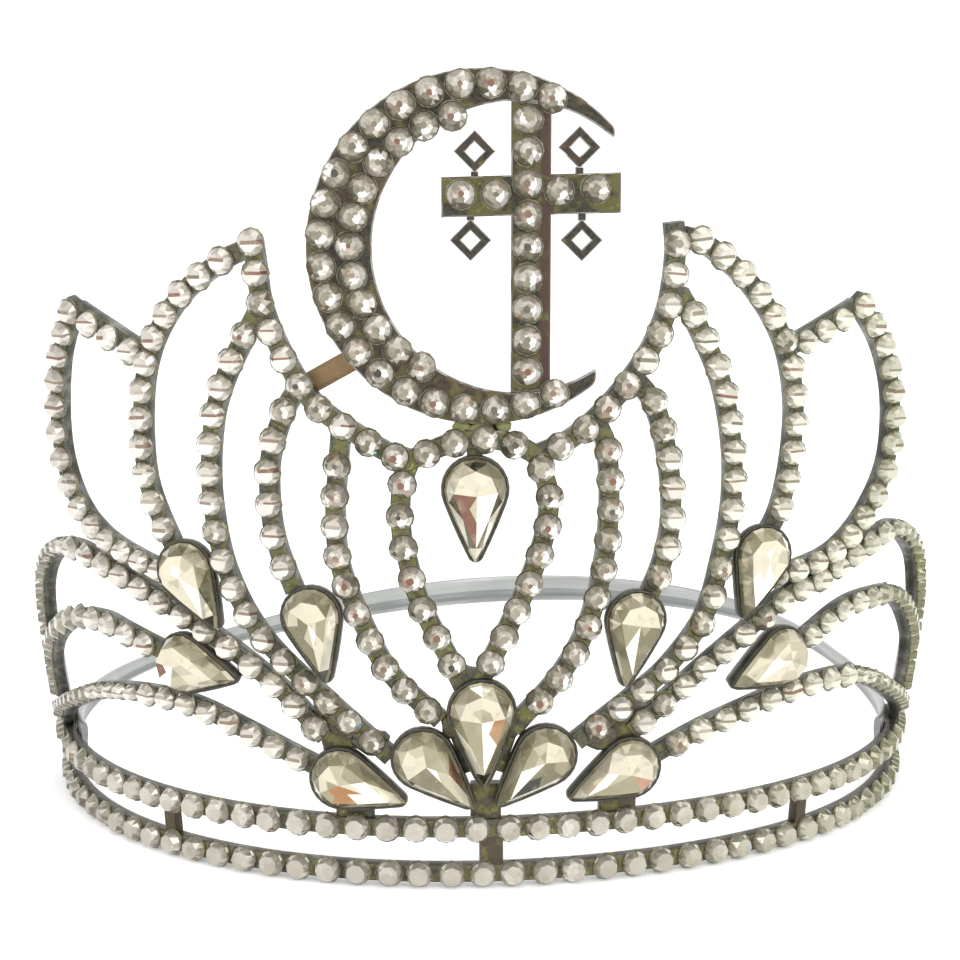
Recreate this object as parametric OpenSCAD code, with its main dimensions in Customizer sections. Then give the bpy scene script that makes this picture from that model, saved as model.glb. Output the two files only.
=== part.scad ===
// A fraternal regalia crown: an open jewelled crown of soldered metal strip.
// Two hoops carry petal openwork, side loops, pear stones, a crescent and a cross.
// X is to the wearer's left, Y to the back, Z up. The head axis is X = 0, Y = 0.
// The crown rests on Z = 0. Azimuth is 0 at the front and 90 at +X.

/* [Base ring] */
// Mean radius of the ring, measured from the head axis
ring_r = 82.6; // [78:0.1:90]
// How far the front and back stand out past the mean radius
ring_long = 5.0; // [0:0.1:7]
// Skew of the hand-bent ring, which pushes the left front corner out
ring_skew = -5.3; // [-6:0.1:0]
// Flattening of the front arc
front_flat = 3.1; // [0:0.1:4]
// Outward lean of the metal per mm of height, at the front
lean_front = 0.06; // [0:0.01:0.1]
// Outward lean of the metal per mm of height, at the sides
lean_side = 0.125; // [0:0.005:0.2]

/* [Metal strip] */
// Width of the strip's face
strip_w = 3.0; // [2.6:0.1:3.6]
// Thickness of the strip
strip_t = 2.0; // [1.4:0.1:2.4]
// Clear gap left between soldered groups
joint_gap = 0.15; // [0.1:0.01:0.3]

/* [Hoops and back band] */
// Height of the lower hoop's centre line
lower_hoop_z = 2.2; // [2.2:0.1:3]
// Height of the upper hoop's centre line
upper_hoop_z = 9.7; // [8.5:0.1:11]
// Azimuth at which both hoops end, on each side
hoop_end = 76; // [72:1:84]
// Width of the middle post between the hoops
post_w = 3.7; // [2.5:0.1:5]
// Width of each side post between the hoops
side_post_w = 2.5; // [2:0.1:4]
// Thickness of the back band
band_t = 1.2; // [0.8:0.1:2]
// Azimuth at which the back band's ends are soldered inside the hoops
band_end = 62; // [56:1:66]

/* [Stones] */
// Diameter of a round flat-back stone
stone_d = 4.4; // [3.8:0.1:4.4]
// Diameter of the round stones on the crescent and cross
plate_stone_d = 4.2; // [3.8:0.1:4.2]
// Height of a round stone above its flat back
stone_h = 1.5; // [1.2:0.1:2.4]
// Clear gap between neighbouring stones, and round a pear stone
stone_gap = 0.1; // [0.1:0.01:0.2]
// Thickness of the glue line under a stone, left clear
glue_gap = 0.2; // [0.1:0.05:0.3]
// Radius of a pear stone's round head
pear_r = 4.6; // [3.8:0.1:4.8]
// Distance from the pear head's centre to its tip
pear_reach = 11.6; // [10:0.1:12]
// Height of a pear stone above its flat back
pear_h = 4.0; // [3:0.1:5]
// Thickness of the setting wall round a pear stone
setting_t = 0.4; // [0.3:0.1:0.6]
// Height of the setting wall above the strip's face
setting_h = 1.2; // [0.8:0.1:1.6]

/* [Crescent and cross] */
// Radius of the crescent's outer edge
crescent_r = 26.1; // [25:0.1:27]
// Radius of the crescent's inner edge
crescent_inner_r = 21.4; // [21:0.1:22]
// Shift of the inner edge's centre toward +X
crescent_shift = 5.0; // [4.6:0.1:5.5]
// Width of the cross bars
cross_w = 5.9; // [5:0.1:6.4]
// Slope of the cross arm in degrees
arm_slope = 1.5; // [0:0.1:3]
// Thickness of the crescent and cross plates
plate_t = 1.6; // [1.2:0.1:2]

/* [Hidden] */

metal = [0.62, 0.61, 0.58];
dark_metal = [0.36, 0.35, 0.32];
crystal = [0.86, 0.84, 0.78];

// Strip centre lines: a row per point, azimuth then height. A smooth curve joins the rows.
peak_left = [[-23.3, 101.3], [-23.1, 98.1], [-22.6, 91.2], [-20.7, 83.7], [-17.9, 76.8], [-13.1, 71.5],
    [-9.8, 68.6]];
peak_right = [[16.6, 103.9], [16.9, 99], [16.2, 90.8], [14, 83.3], [10.1, 76], [6.5, 71.4], [3.7, 69.5]];
arch = [[-9.5, 68.2], [-5, 71.2], [-1.5, 71.8], [1.4, 70.7], [3.5, 68.9]];
sixth_left = [[-8.7, 69.9], [-9.9, 64], [-10, 57.5], [-9.4, 52.7], [-8.2, 46], [-5.1, 36.3],
    [-3.5, 30.7]];
sixth_right = [[3.5, 67.9], [4.5, 63.3], [4.2, 57.1], [2.5, 49.1], [0, 40.7], [-2.5, 33.3]];
fifth_left = [[-15.6, 72.7], [-16, 67.1], [-16.4, 60.1], [-16.1, 52.1], [-14.1, 43.2], [-11.3, 34.8],
    [-6.4, 27.5]];
fifth_right = [[9.5, 73.4], [10.4, 69.8], [10.8, 61], [10.3, 51.5], [8.7, 41.8], [6, 34.4], [2.4, 28.3],
    [1, 25.9]];
fourth_left = [[-19.3, 80.1], [-21.1, 75.4], [-22.7, 68], [-22.9, 60], [-22.3, 54.1], [-20.8, 47.5]];
fourth_right = [[13, 80.8], [15.4, 76], [17.1, 66.9], [17.6, 58.7], [16.9, 52], [15.5, 46.5]];
third_left = [[-23.2, 90.7], [-27.3, 78.9], [-28.8, 70], [-29.1, 60.3], [-27.9, 49.7], [-24.4, 39.7],
    [-17.9, 30.1], [-15.2, 26.4], [-11.5, 21.3]];
third_right = [[17.5, 93.3], [19.7, 88.1], [22.6, 79.4], [24.3, 69], [24.6, 60], [23.7, 51], [22, 42.1],
    [18, 34.6], [14, 30], [10.6, 26.4], [7.8, 23.3]];
second_left = [[-24.2, 99.9], [-26.5, 98.1], [-31, 92.8], [-34.7, 84.9], [-36.5, 75.8], [-36.8, 63.7],
    [-34.5, 54.2], [-32.4, 48.7]];
second_right = [[17.8, 101.9], [20, 100.7], [25.2, 94.6], [29.5, 86], [31.5, 77], [31.8, 68],
    [30.8, 58.7], [28.6, 52.9]];
outer_left = [[-44.8, 90.9], [-48.7, 80.9], [-50.6, 67.8], [-48.8, 58.7], [-44.2, 52.9], [-36.2, 48.9],
    [-32.1, 47.4]];
outer_right = [[39.3, 91.4], [44, 83.7], [47.1, 74.5], [47.7, 64.2], [44.6, 56.2], [39.8, 50.6],
    [34.4, 48.3], [29.2, 47.5]];
brow_left = [[-44.6, 90], [-40.2, 87], [-36, 83.8]];
brow_right = [[39.2, 90.4], [36.1, 88.3], [30.8, 84.7]];
loop1_left = [[-70, 10], [-70, 20], [-68, 30], [-63.5, 39.8], [-56.5, 47.5], [-51, 49.4], [-45, 48.2],
    [-37.4, 44.4], [-30, 39], [-23.1, 31.8], [-18.3, 24.1]];
loop2_left = [[-72, 10], [-70, 19], [-66, 26], [-59.5, 32.2], [-52.5, 36.7], [-46.5, 38.1], [-42.3, 37.1],
    [-36, 34.9]];
loop3_left = [[-71, 10], [-64, 16.2], [-55.2, 21.5], [-47.4, 25.5], [-39.1, 27.3], [-33, 26.9],
    [-26.9, 24], [-19.1, 19]];
loop1_right = [[71, 10], [71, 20], [69, 30], [63, 40.6], [58.2, 47.2], [51.2, 51.9], [43.7, 49.4],
    [36.2, 45.2], [33.3, 44.4], [27.9, 39.3], [22, 33.4], [13.9, 24.4]];
loop2_right = [[73, 10], [71, 19], [67, 27], [61, 33.4], [54.5, 39.2], [48.3, 40.6], [41.9, 39.8],
    [34.5, 34.8]];
loop3_right = [[72, 10], [65, 16.3], [56.5, 21.7], [49.3, 26], [43.1, 28], [34.9, 27.8], [28, 25.8],
    [21.9, 23.2], [15, 18.9]];

// Pear stones: a row per stone, head azimuth, head height, swing of the tip toward +X from
// straight down, and share of the full size.
pendant = [-2.8, 64.3, 0, 1.02];
fan_middle = [-2.2, 29.0, 1, 1.08];
fan_left = [-8.2, 21.5, 45, 1];
fan_right = [4.4, 21.7, -45, 1];
fan_far_left = [-16.6, 17.9, 71, 1];
fan_far_right = [13.7, 18.7, -67, 1];
petal_left = [-19, 43.9, 13, 0.97];
petal_right = [13.8, 42.8, -9, 0.97];
outer_stone_left = [-32.4, 49.7, 30, 0.97];
outer_stone_right = [28.5, 51.6, -17, 0.97];
loop_stone_left = [-33.5, 34.2, 84, 1.0];
loop_stone_right = [32, 34.2, -72, 1.0];

// Rows of round stones: a row per strip, its centre line, the bare length at each end, then the
// number of stones. The bare lengths keep the stones of crossing rows apart.
crest_rows = [[arch, 3.6, 4.4, 4], [sixth_left, 5.2, 6.4, 7], [sixth_right, 0.7, 3.9, 8]];
left_rows = [[peak_left, 0.3, 1.1, 10], [fifth_left, 5.1, 2.6, 10], [fourth_left, 5.2, 4.2, 6],
    [third_left, 4.2, 3.9, 17]];
right_rows = [[peak_right, 3.2, 3, 9], [fifth_right, 4, 6.1, 10], [fourth_right, 5, 3.1, 7],
    [third_right, 3.9, 4, 17]];
// The same for the hoops, whose rows end short of the hoop ends
lower_row = [1.1, 1.1, 39];
upper_row = [3.3, 0, 40];

// Finer turns of the ring's plan
corner_turn = 2.3;
side_turn = 1.2;
// Share of the ring's turn that the petals give back, so that they face the front
petal_ease = 0.35;
outer_ease = 0.45;
curve_steps = 2;
level_step = 4;
// Reach of each piece of a run into the piece before it, which makes them one solid
lap = 0.1;
// A row per post: azimuth, then width
posts = [[-1.2, post_w], [-38, side_post_w], [38, side_post_w]];
post_t = strip_t - 0.2;

// Back band: half its height at the sides, what the back and the ends add, and where they begin
band_steps = 24;
band_slim = 1.6;
band_back_rise = 1.6;
band_end_rise = 1;
band_z0 = 10.1;
band_climb = 1.4;
band_arc = 75;
band_inset = strip_t + 0.3;

// Solder feet under the far fan stones and the middle: azimuth, width and top
foot_middle = [-1.8, 7, 17];
foot_left = [-15.5, 6, 15];
foot_right = [12.7, 6, 15];
// Solder webs from the third strips down to the far fan settings
web_left = [[-17.8, 29], [-16.8, 21]];
web_right = [[13.6, 28.5], [13.3, 21.5]];
web_w = 5;
foot_t = strip_t - 0.4;
foot_inset = 0.5;
tab_line = [[-2.2, 71], [-2.2, 76.5]];
tab_w = 7.6;
tab_inset = plate_t + 0.6;
hanger_line = [[-2.8, 68], [-2.8, 72]];
hanger_w = 2.4;

// The upright plate plane of the crescent and cross, in X and height
plate_y = -89.2;
crescent_x = -3.2;
crescent_z = 100.2;
// Where the crescent's blunt tips are cut: distance from its centre, and turn of the cut
tip_reach = 18.5;
tip_turn = -3.8;
cross_x = 3.9;
cross_top = 122;
cross_foot = 77;
arm_left = -9.3;
arm_right = 17.1;
arm_z = 108;
lozenge_side = 4.4;
lozenge_open = 2;
lozenge_stem = 1.2;
// A row per lozenge: X, height, and 1 above the arm or 0 below it
lozenges = [[-4.4, 114.3, 1], [11, 114.9, 1], [-5, 101.4, 0], [11.4, 101.4, 0]];
stay_top = [-23.4, plate_y + plate_t + joint_gap, 83.2];
stay_foot = [-31.5, -85.8, 78.6];
stay_l = 2;
stay_w = 3.4;
stay_slope = 30;

// Stones: the least spacing, the table's share of the width, and where each row starts and ends
stone_pitch = stone_d + stone_gap + 0.02;
table_share = 0.55;
stone_span = 64;
outer_arc = [65, 296.5, 22];
outer_arc_r = 24;
inner_arc = [103, 242.5, 12];
inner_arc_r = 19.7;
upright_x = 3.45;
upright_top = 118.9;
upright_pitch = 4.6;
upright_count = 9;
// A row per stone on the arm: X, then height
arm_stones = [[-6.4, 108.1], [-1.3, 108.1], [8, 108.6], [13.4, 108.9]];
pear_girdle = 1.4;
pear_table_share = 0.42;
pear_table_shift = 0.35;
box_faces = [[0, 1, 2, 3], [7, 6, 5, 4], [0, 4, 5, 1], [1, 5, 6, 2], [2, 6, 7, 3], [3, 7, 4, 0]];

// Plan of the ring: an oval with a flattened front and a slight skew
function ring(az) = ring_r + ring_long * cos(2 * az) + ring_skew * sin(2 * az)
    - front_flat * cos(3 * az) + corner_turn * sin(3 * az) - side_turn * sin(4 * az);
function lean(az) = lean_front + (lean_side - lean_front) * pow(sin(az), 2);
function shell(az, z, out = 0) = let (r = ring(az) + lean(az) * z + out) [r * sin(az), -r * cos(az), z];
function normal_turn(az) = az - atan((ring(az + 1) - ring(az - 1)) * 90 / PI / ring(az));
function facing(az, ease) = let (a = normal_turn(az) * (1 - ease)) [sin(a), -cos(a), 0];
function unit(v) = v / norm(v);
function square_to(f, t) = unit(f - (f * t) * t);

// A smooth curve through the rows, with a number of steps in each span
function blend(a, b, c, d, t) = 0.5 * (2 * b + (c - a) * t + (2 * a - 5 * b + 4 * c - d) * t * t
    + (3 * b - a - 3 * c + d) * t * t * t);
function row_at(rows, i) = i < 0 ? 2 * rows[0] - rows[1]
    : i >= len(rows) ? 2 * rows[len(rows) - 1] - rows[len(rows) - 2] : rows[i];
function curve(rows, steps) = [
    for (i = [0:len(rows) - 2]) for (j = [0:steps - 1])
        blend(row_at(rows, i - 1), rows[i], rows[i + 1], row_at(rows, i + 2), j / steps),
    rows[len(rows) - 1]
];

// Four corners of the strip's section at p, running along t and facing f
function section(p, t, f, w, th, grow) = let (
    n = square_to(f, t), s = cross(t, n), a = w / 2 + grow, top = p + grow * n, low = p - (th + grow) * n
) [top + a * s, top - a * s, low - a * s, low + a * s];

// One straight piece of a run, from the end face a to b, which reaches into the piece before it by c
module run_piece(a, b, c, joined) {
    hull() {
        polyhedron(concat(a, b), box_faces);
        if (joined) polyhedron(concat(c, b), box_faces);
    }
}

// A run of strip along the rows
module bar(rows, ease = 0, w = strip_w, th = strip_t, grow = 0, steps = curve_steps, out = 0) {
    line = curve(rows, steps);
    last = len(line) - 1;
    spots = [for (q = line) shell(q.x, q.y, out)];
    runs = [for (i = [0:last]) unit(spots[min(i + 1, last)] - spots[max(i - 1, 0)])];
    ends = [for (i = [0:last]) section(spots[i], runs[i], facing(line[i].x, ease), w, th, grow)];
    laps = [for (i = [0:last]) section(spots[i] - lap * runs[i], runs[i], facing(line[i].x, ease), w, th,
        grow - lap)];
    for (i = [0:last - 1]) run_piece(ends[i], ends[i + 1], laps[i], i > 0);
}

// A level line round the ring, from -span to span
function level(span, z) = [for (az = [-span:level_step:span]) [az, z]];

// Places children on the shell with X along the ring, Y up and Z outward
module on_shell(az, z, ease = 0, out = 0) {
    n = facing(az, ease);
    up = square_to(shell(az, z + 1) - shell(az, z), n);
    side = cross(up, n);
    p = shell(az, z) + out * n;
    multmatrix([
        [side.x, up.x, n.x, p.x], [side.y, up.y, n.y, p.y], [side.z, up.z, n.z, p.z], [0, 0, 0, 1]
    ]) children();
}

// A round stone: a flat back, eight crown facets and a table
module round_stone(d = stone_d) {
    hull() translate([0, 0, glue_gap]) cylinder(h = stone_h, d1 = d, d2 = d * table_share, $fn = 8);
}

// A row of round stones along a strip, from first to last mm short of its ends. It holds the
// wanted number of stones, or as many as have room.
module stone_row(rows, ease, first, last, wanted) {
    line = curve(rows, 8);
    spots = [for (q = line) shell(q.x, q.y)];
    steps = [for (i = [1:len(spots) - 1]) norm(spots[i] - spots[i - 1])];
    walked = [for (i = 0, d = 0; i < len(spots); d = d + (i < len(steps) ? steps[i] : 0), i = i + 1) d];
    length = walked[len(walked) - 1] - first - last;
    count = min(wanted - 1, floor(length / stone_pitch));
    az_of = [for (i = [0:len(spots) - 1]) [walked[i], line[i].x]];
    z_of = [for (i = [0:len(spots) - 1]) [walked[i], line[i].y]];
    for (i = [0:count]) {
        d = first + length * i / max(count, 1);
        p = shell(lookup(d, az_of), lookup(d, z_of));
        ahead = shell(lookup(d + 0.5, az_of), lookup(d + 0.5, z_of));
        behind = shell(lookup(d - 0.5, az_of), lookup(d - 0.5, z_of));
        t = unit(ahead - behind);
        n = square_to(facing(lookup(d, az_of), ease), t);
        s = cross(n, t);
        multmatrix([[t.x, s.x, n.x, p.x], [t.y, s.y, n.y, p.y], [t.z, s.z, n.z, p.z], [0, 0, 0, 1]])
            round_stone();
    }
}

// Outline of a pear, head at the origin and tip toward -Y
function pear(r, reach, grow) = let (
    open = asin(r / reach), far = reach + grow / sin(open), start = 270 + 90 - open
) concat([[0, -far]], [for (i = [0:10]) let (a = start + (180 + 2 * open) * i / 10)
    [(r + grow) * cos(a), (r + grow) * sin(a)]]);

module pear_plate(size, grow, h) {
    linear_extrude(h) polygon(pear(pear_r * size, pear_reach * size, grow));
}

// A cup setting: a floor level with the strips and a thin wall that stands round the stone
module setting(row, ease, grow = 0) {
    on_shell(row[0], row[1], ease, -strip_t - grow) rotate(row[2])
        hull() pear_plate(row[3], setting_t + stone_gap + grow, strip_t + setting_h + 2 * grow);
}

// The room that a pear stone takes in its setting
module seat(row, ease) {
    on_shell(row[0], row[1], ease) rotate(row[2]) hull() pear_plate(row[3], stone_gap, setting_h + 2);
}

// A pear stone: a straight girdle, a crown of facets and a small table
module pear_stone(row, ease) {
    color(crystal) on_shell(row[0], row[1], ease, stone_gap) rotate(row[2]) hull() {
        pear_plate(row[3], 0, pear_girdle);
        translate([0, -pear_r * pear_table_shift, pear_h - 0.01])
            scale([pear_table_share, pear_table_share, 1]) pear_plate(row[3], 0, 0.01);
    }
}

// Metal groups. Each leaves the joint gap where it meets an earlier one.
module hoop_metal(grow = 0) {
    bar(level(hoop_end, lower_hoop_z), grow = grow, steps = 1);
    bar(level(hoop_end, upper_hoop_z), grow = grow, steps = 1);
}

module post(row) {
    bar([[row[0], lower_hoop_z], [row[0], upper_hoop_z]], w = row[1], th = post_t, steps = 1);
}

module base_hoops() {
    color(metal) {
        hoop_metal();
        for (row = posts) post(row);
    }
}

// Half height of the back band: tall at the back, slim at the sides, taller at its soldered ends
function band_half(az) = let (far = abs(az - 180)) far < band_arc
    ? band_slim + band_back_rise * pow(cos(far * 90 / band_arc), 2)
    : band_slim + band_end_rise * min(1, (far - band_arc) / 30);
function band_z(az) = band_z0 + band_climb * pow(max(0, abs(az - 180) - 90) / 35, 2);

function band_section(az, slim = 0) = let (
    half = band_half(az) - slim,
    outer = shell(az, band_z(az), -band_inset - slim),
    inner = shell(az, band_z(az), -band_inset - band_t + slim)
) [outer + [0, 0, half], outer - [0, 0, half], inner - [0, 0, half], inner + [0, 0, half]];

module back_band() {
    turn = (360 - 2 * band_end) / band_steps;
    color(metal) for (i = [0:band_steps - 1]) {
        az = band_end + i * turn;
        run_piece(band_section(az), band_section(az + turn), band_section(az - lap, lap), i > 0);
    }
}

// A solder foot that carries a setting on the upper hoop
module foot(row, grow) {
    line = [[row[0], upper_hoop_z + strip_w / 2], [row[0], row[2]]];
    bar(line, petal_ease, row[1], foot_t, grow, 1, -foot_inset);
}

// A solder tab behind the foot of the crescent, and the pendant's short hanger
module tabs(grow) {
    bar(tab_line, petal_ease, tab_w, plate_t, grow, 1, -tab_inset);
    bar(hanger_line, petal_ease, hanger_w, strip_t, grow, 1);
}

module crest_metal(grow = 0) {
    tabs(grow);
    foot(foot_middle, grow);
    bar(arch, petal_ease, grow = grow);
    bar(sixth_left, petal_ease, grow = grow);
    bar(sixth_right, petal_ease, grow = grow);
    setting(pendant, petal_ease, grow);
    setting(fan_middle, petal_ease, grow);
    setting(fan_left, petal_ease, grow);
    setting(fan_right, petal_ease, grow);
}

module crest_seats() {
    seat(pendant, petal_ease);
    seat(fan_middle, petal_ease);
    seat(fan_left, petal_ease);
    seat(fan_right, petal_ease);
    seat(fan_far_left, petal_ease);
    seat(fan_far_right, petal_ease);
}

module crest_petals() {
    color(metal) difference() {
        crest_metal();
        hoop_metal(joint_gap);
        crest_seats();
    }
}

module left_metal(grow = 0) {
    bar(peak_left, petal_ease, grow = grow);
    bar(fifth_left, petal_ease, grow = grow);
    bar(fourth_left, petal_ease, grow = grow);
    bar(third_left, petal_ease, grow = grow);
    setting(petal_left, petal_ease, grow);
    setting(fan_far_left, petal_ease, grow);
    foot(foot_left, grow);
    bar(web_left, petal_ease, web_w, foot_t, grow, 1, -foot_inset);
}

module left_petals() {
    color(metal) difference() {
        left_metal();
        crest_metal(joint_gap);
        hoop_metal(joint_gap);
        crest_seats();
        seat(petal_left, petal_ease);
        seat(outer_stone_left, outer_ease);
    }
}

module right_metal(grow = 0) {
    bar(peak_right, petal_ease, grow = grow);
    bar(fifth_right, petal_ease, grow = grow);
    bar(fourth_right, petal_ease, grow = grow);
    bar(third_right, petal_ease, grow = grow);
    setting(petal_right, petal_ease, grow);
    setting(fan_far_right, petal_ease, grow);
    foot(foot_right, grow);
    bar(web_right, petal_ease, web_w, foot_t, grow, 1, -foot_inset);
}

module right_petals() {
    color(metal) difference() {
        right_metal();
        crest_metal(joint_gap);
        hoop_metal(joint_gap);
        crest_seats();
        seat(petal_right, petal_ease);
        seat(outer_stone_right, outer_ease);
    }
}

module left_outer_metal(grow = 0) {
    bar(second_left, outer_ease, grow = grow);
    bar(outer_left, outer_ease, grow = grow);
    bar(brow_left, outer_ease, grow = grow);
    setting(outer_stone_left, outer_ease, grow);
}

module left_outer_petals() {
    color(metal) difference() {
        left_outer_metal();
        left_metal(joint_gap);
        seat(outer_stone_left, outer_ease);
        seat(petal_left, petal_ease);
    }
}

module right_outer_metal(grow = 0) {
    bar(second_right, outer_ease, grow = grow);
    bar(outer_right, outer_ease, grow = grow);
    bar(brow_right, outer_ease, grow = grow);
    setting(outer_stone_right, outer_ease, grow);
}

module right_outer_petals() {
    color(metal) difference() {
        right_outer_metal();
        right_metal(joint_gap);
        seat(outer_stone_right, outer_ease);
        seat(petal_right, petal_ease);
    }
}

module left_side_loops() {
    color(metal) difference() {
        union() {
            bar(loop1_left);
            bar(loop2_left);
            bar(loop3_left);
            setting(loop_stone_left, 0);
        }
        left_metal(joint_gap);
        left_outer_metal(joint_gap);
        hoop_metal(joint_gap);
        seat(loop_stone_left, 0);
        seat(outer_stone_left, outer_ease);
    }
}

module right_side_loops() {
    color(metal) difference() {
        union() {
            bar(loop1_right);
            bar(loop2_right);
            bar(loop3_right);
            setting(loop_stone_right, 0);
        }
        right_metal(joint_gap);
        right_outer_metal(joint_gap);
        hoop_metal(joint_gap);
        seat(loop_stone_right, 0);
        seat(outer_stone_right, outer_ease);
    }
}

// Lays a flat outline, drawn in X and height, on the upright plate plane
module plate(thick = plate_t) {
    translate([0, plate_y + thick, 0]) rotate([90, 0, 0]) linear_extrude(thick) children();
}

module crescent() {
    color(metal) plate() translate([crescent_x, crescent_z]) difference() {
        circle(crescent_r, $fn = 96);
        translate([crescent_shift, 0]) circle(crescent_inner_r, $fn = 96);
        rotate(tip_turn) translate([tip_reach, -crescent_r]) square(crescent_r * 2);
    }
}

// A small pierced lozenge on a short stem, above or below the arm
module lozenge(row) {
    difference() {
        union() {
            translate([row[0], row[1]]) rotate(45) square(lozenge_side, center = true);
            translate([row[0] - lozenge_stem / 2, row[1] - lozenge_side * row[2]])
                square([lozenge_stem, lozenge_side]);
        }
        translate([row[0], row[1]]) rotate(45) square(lozenge_open, center = true);
    }
}

module cross() {
    color(metal) plate() difference() {
        union() {
            translate([cross_x - cross_w / 2, cross_foot]) square([cross_w, cross_top - cross_foot]);
            translate([cross_x, arm_z]) rotate(arm_slope) translate([arm_left - cross_x, -cross_w / 2])
                square([arm_right - arm_left, cross_w]);
            for (row = lozenges) lozenge(row);
        }
        translate([crescent_x, crescent_z]) difference() {
            circle(crescent_r * 1.5, $fn = 96);
            translate([crescent_shift, 0]) circle(crescent_inner_r - joint_gap, $fn = 96);
        }
    }
}

// A flat stay from the back of the crescent down to the edge of the left peak's strip
module stay_bar() {
    color(dark_metal) difference() {
        hull() for (spot = [stay_top, stay_foot])
            translate(spot) rotate([0, -stay_slope, 0]) translate([0, 0, -stay_w / 2])
                cube([stay_l, plate_t, stay_w]);
        left_metal(joint_gap);
    }
}

// Rows of round stones, glued on their flat backs along the strips and plates
module hoop_stones_lower() {
    color(crystal) stone_row(level(stone_span, lower_hoop_z), 0, lower_row[0], lower_row[1], lower_row[2]);
}

module hoop_stones_upper() {
    color(crystal) stone_row(level(stone_span, upper_hoop_z), 0, upper_row[0], upper_row[1], upper_row[2]);
}

module plate_stone(x, z) {
    translate([x, plate_y, z]) rotate([90, 0, 0]) round_stone(plate_stone_d);
}

// An arc of stones on the crescent: the arc's first angle, last angle and count, at radius r
module stone_arc(arc, r) {
    for (i = [0:arc[2] - 1]) {
        a = arc[0] + (arc[1] - arc[0]) * i / (arc[2] - 1);
        plate_stone(crescent_x + r * cos(a), crescent_z + r * sin(a));
    }
}

module crescent_stones() {
    color(crystal) {
        stone_arc(outer_arc, outer_arc_r);
        stone_arc(inner_arc, inner_arc_r);
    }
}

module cross_stones() {
    color(crystal) {
        for (i = [0:upright_count - 1]) plate_stone(upright_x, upright_top - i * upright_pitch);
        for (spot = arm_stones) plate_stone(spot[0], spot[1]);
    }
}

module crest_stones() {
    color(crystal) for (row = crest_rows) stone_row(row[0], petal_ease, row[1], row[2], row[3]);
}

module left_petal_stones() {
    color(crystal) for (row = left_rows) stone_row(row[0], petal_ease, row[1], row[2], row[3]);
}

module right_petal_stones() {
    color(crystal) for (row = right_rows) stone_row(row[0], petal_ease, row[1], row[2], row[3]);
}

module pendant_stone() pear_stone(pendant, petal_ease);
module fan_stone_middle() pear_stone(fan_middle, petal_ease);
module fan_stone_left() pear_stone(fan_left, petal_ease);
module fan_stone_right() pear_stone(fan_right, petal_ease);
module fan_stone_far_left() pear_stone(fan_far_left, petal_ease);
module fan_stone_far_right() pear_stone(fan_far_right, petal_ease);
module left_petal_stone() pear_stone(petal_left, petal_ease);
module right_petal_stone() pear_stone(petal_right, petal_ease);
module left_outer_stone() pear_stone(outer_stone_left, outer_ease);
module right_outer_stone() pear_stone(outer_stone_right, outer_ease);
module left_loop_stone() pear_stone(loop_stone_left, 0);
module right_loop_stone() pear_stone(loop_stone_right, 0);

base_hoops();
back_band();
crest_petals();
left_petals();
right_petals();
left_outer_petals();
right_outer_petals();
left_side_loops();
right_side_loops();
crescent();
cross();
stay_bar();
hoop_stones_lower();
hoop_stones_upper();
crescent_stones();
cross_stones();
crest_stones();
left_petal_stones();
right_petal_stones();
pendant_stone();
fan_stone_middle();
fan_stone_left();
fan_stone_right();
fan_stone_far_left();
fan_stone_far_right();
left_petal_stone();
right_petal_stone();
left_outer_stone();
right_outer_stone();
left_loop_stone();
right_loop_stone();
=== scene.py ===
import bpy
import math
import random
from mathutils import Matrix, Vector


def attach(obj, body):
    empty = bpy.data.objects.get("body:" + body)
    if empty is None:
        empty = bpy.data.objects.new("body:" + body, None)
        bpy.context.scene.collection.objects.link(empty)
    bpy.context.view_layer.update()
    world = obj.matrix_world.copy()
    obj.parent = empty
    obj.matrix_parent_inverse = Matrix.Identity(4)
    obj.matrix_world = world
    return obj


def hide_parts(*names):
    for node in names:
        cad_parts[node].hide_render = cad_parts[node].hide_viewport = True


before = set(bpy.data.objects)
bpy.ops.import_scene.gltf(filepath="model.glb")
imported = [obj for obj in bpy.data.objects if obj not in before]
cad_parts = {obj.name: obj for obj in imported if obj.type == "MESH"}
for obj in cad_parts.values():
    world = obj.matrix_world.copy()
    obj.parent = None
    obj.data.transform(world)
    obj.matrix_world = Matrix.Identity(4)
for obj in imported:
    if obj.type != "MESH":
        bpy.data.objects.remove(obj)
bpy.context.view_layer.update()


# Hoops. Two hand-bent hoops of silvered strip stand 7.5 mm apart on three short soldered posts.
# Every strip of the crown is stood on edge on the same leaning oval, with its stones glued to
# the outer face. Sizes are in mm and degrees, and MM turns them into metres.
MM = 0.001
RING_R = 82.6
# waves in a turn, cosine part, sine part
RING_WAVES = ((2, 5.0, -5.3), (3, -3.1, 2.3), (4, 0.0, -1.2))
LEAN, SIDE_LEAN = 0.06, 0.065
STRIP_W, STRIP_T, STRIP_EDGE, CORNER_STEPS = 3.0, 2.0, 0.25, 2
LOWER_Z, UPPER_Z, HOOP_END, HOOP_STEP = 2.2, 9.7, 76, 4
# azimuth, width
POSTS = ((-1.2, 3.7), (-38, 2.5), (38, 2.5))
POST_T, POST_OUT = 1.8, -0.1
METAL_CREASE = 35
REAR_TONE = (-0.4, 0.1)
UP = Vector((0, 0, 1))


def ring(az):
    """The oval's radius: a circle with the slow waves of bending by hand."""
    a = math.radians(az)
    return RING_R + sum(c * math.cos(n * a) + s * math.sin(n * a) for n, c, s in RING_WAVES)


def shell(az, z, out=0.0):
    """The point of the leaning oval at an azimuth and a height, or so far outside it."""
    a = math.radians(az)
    r = ring(az) + (LEAN + SIDE_LEAN * math.sin(a) ** 2) * z + out
    return Vector((r * math.sin(a), -r * math.cos(a), z))


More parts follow.
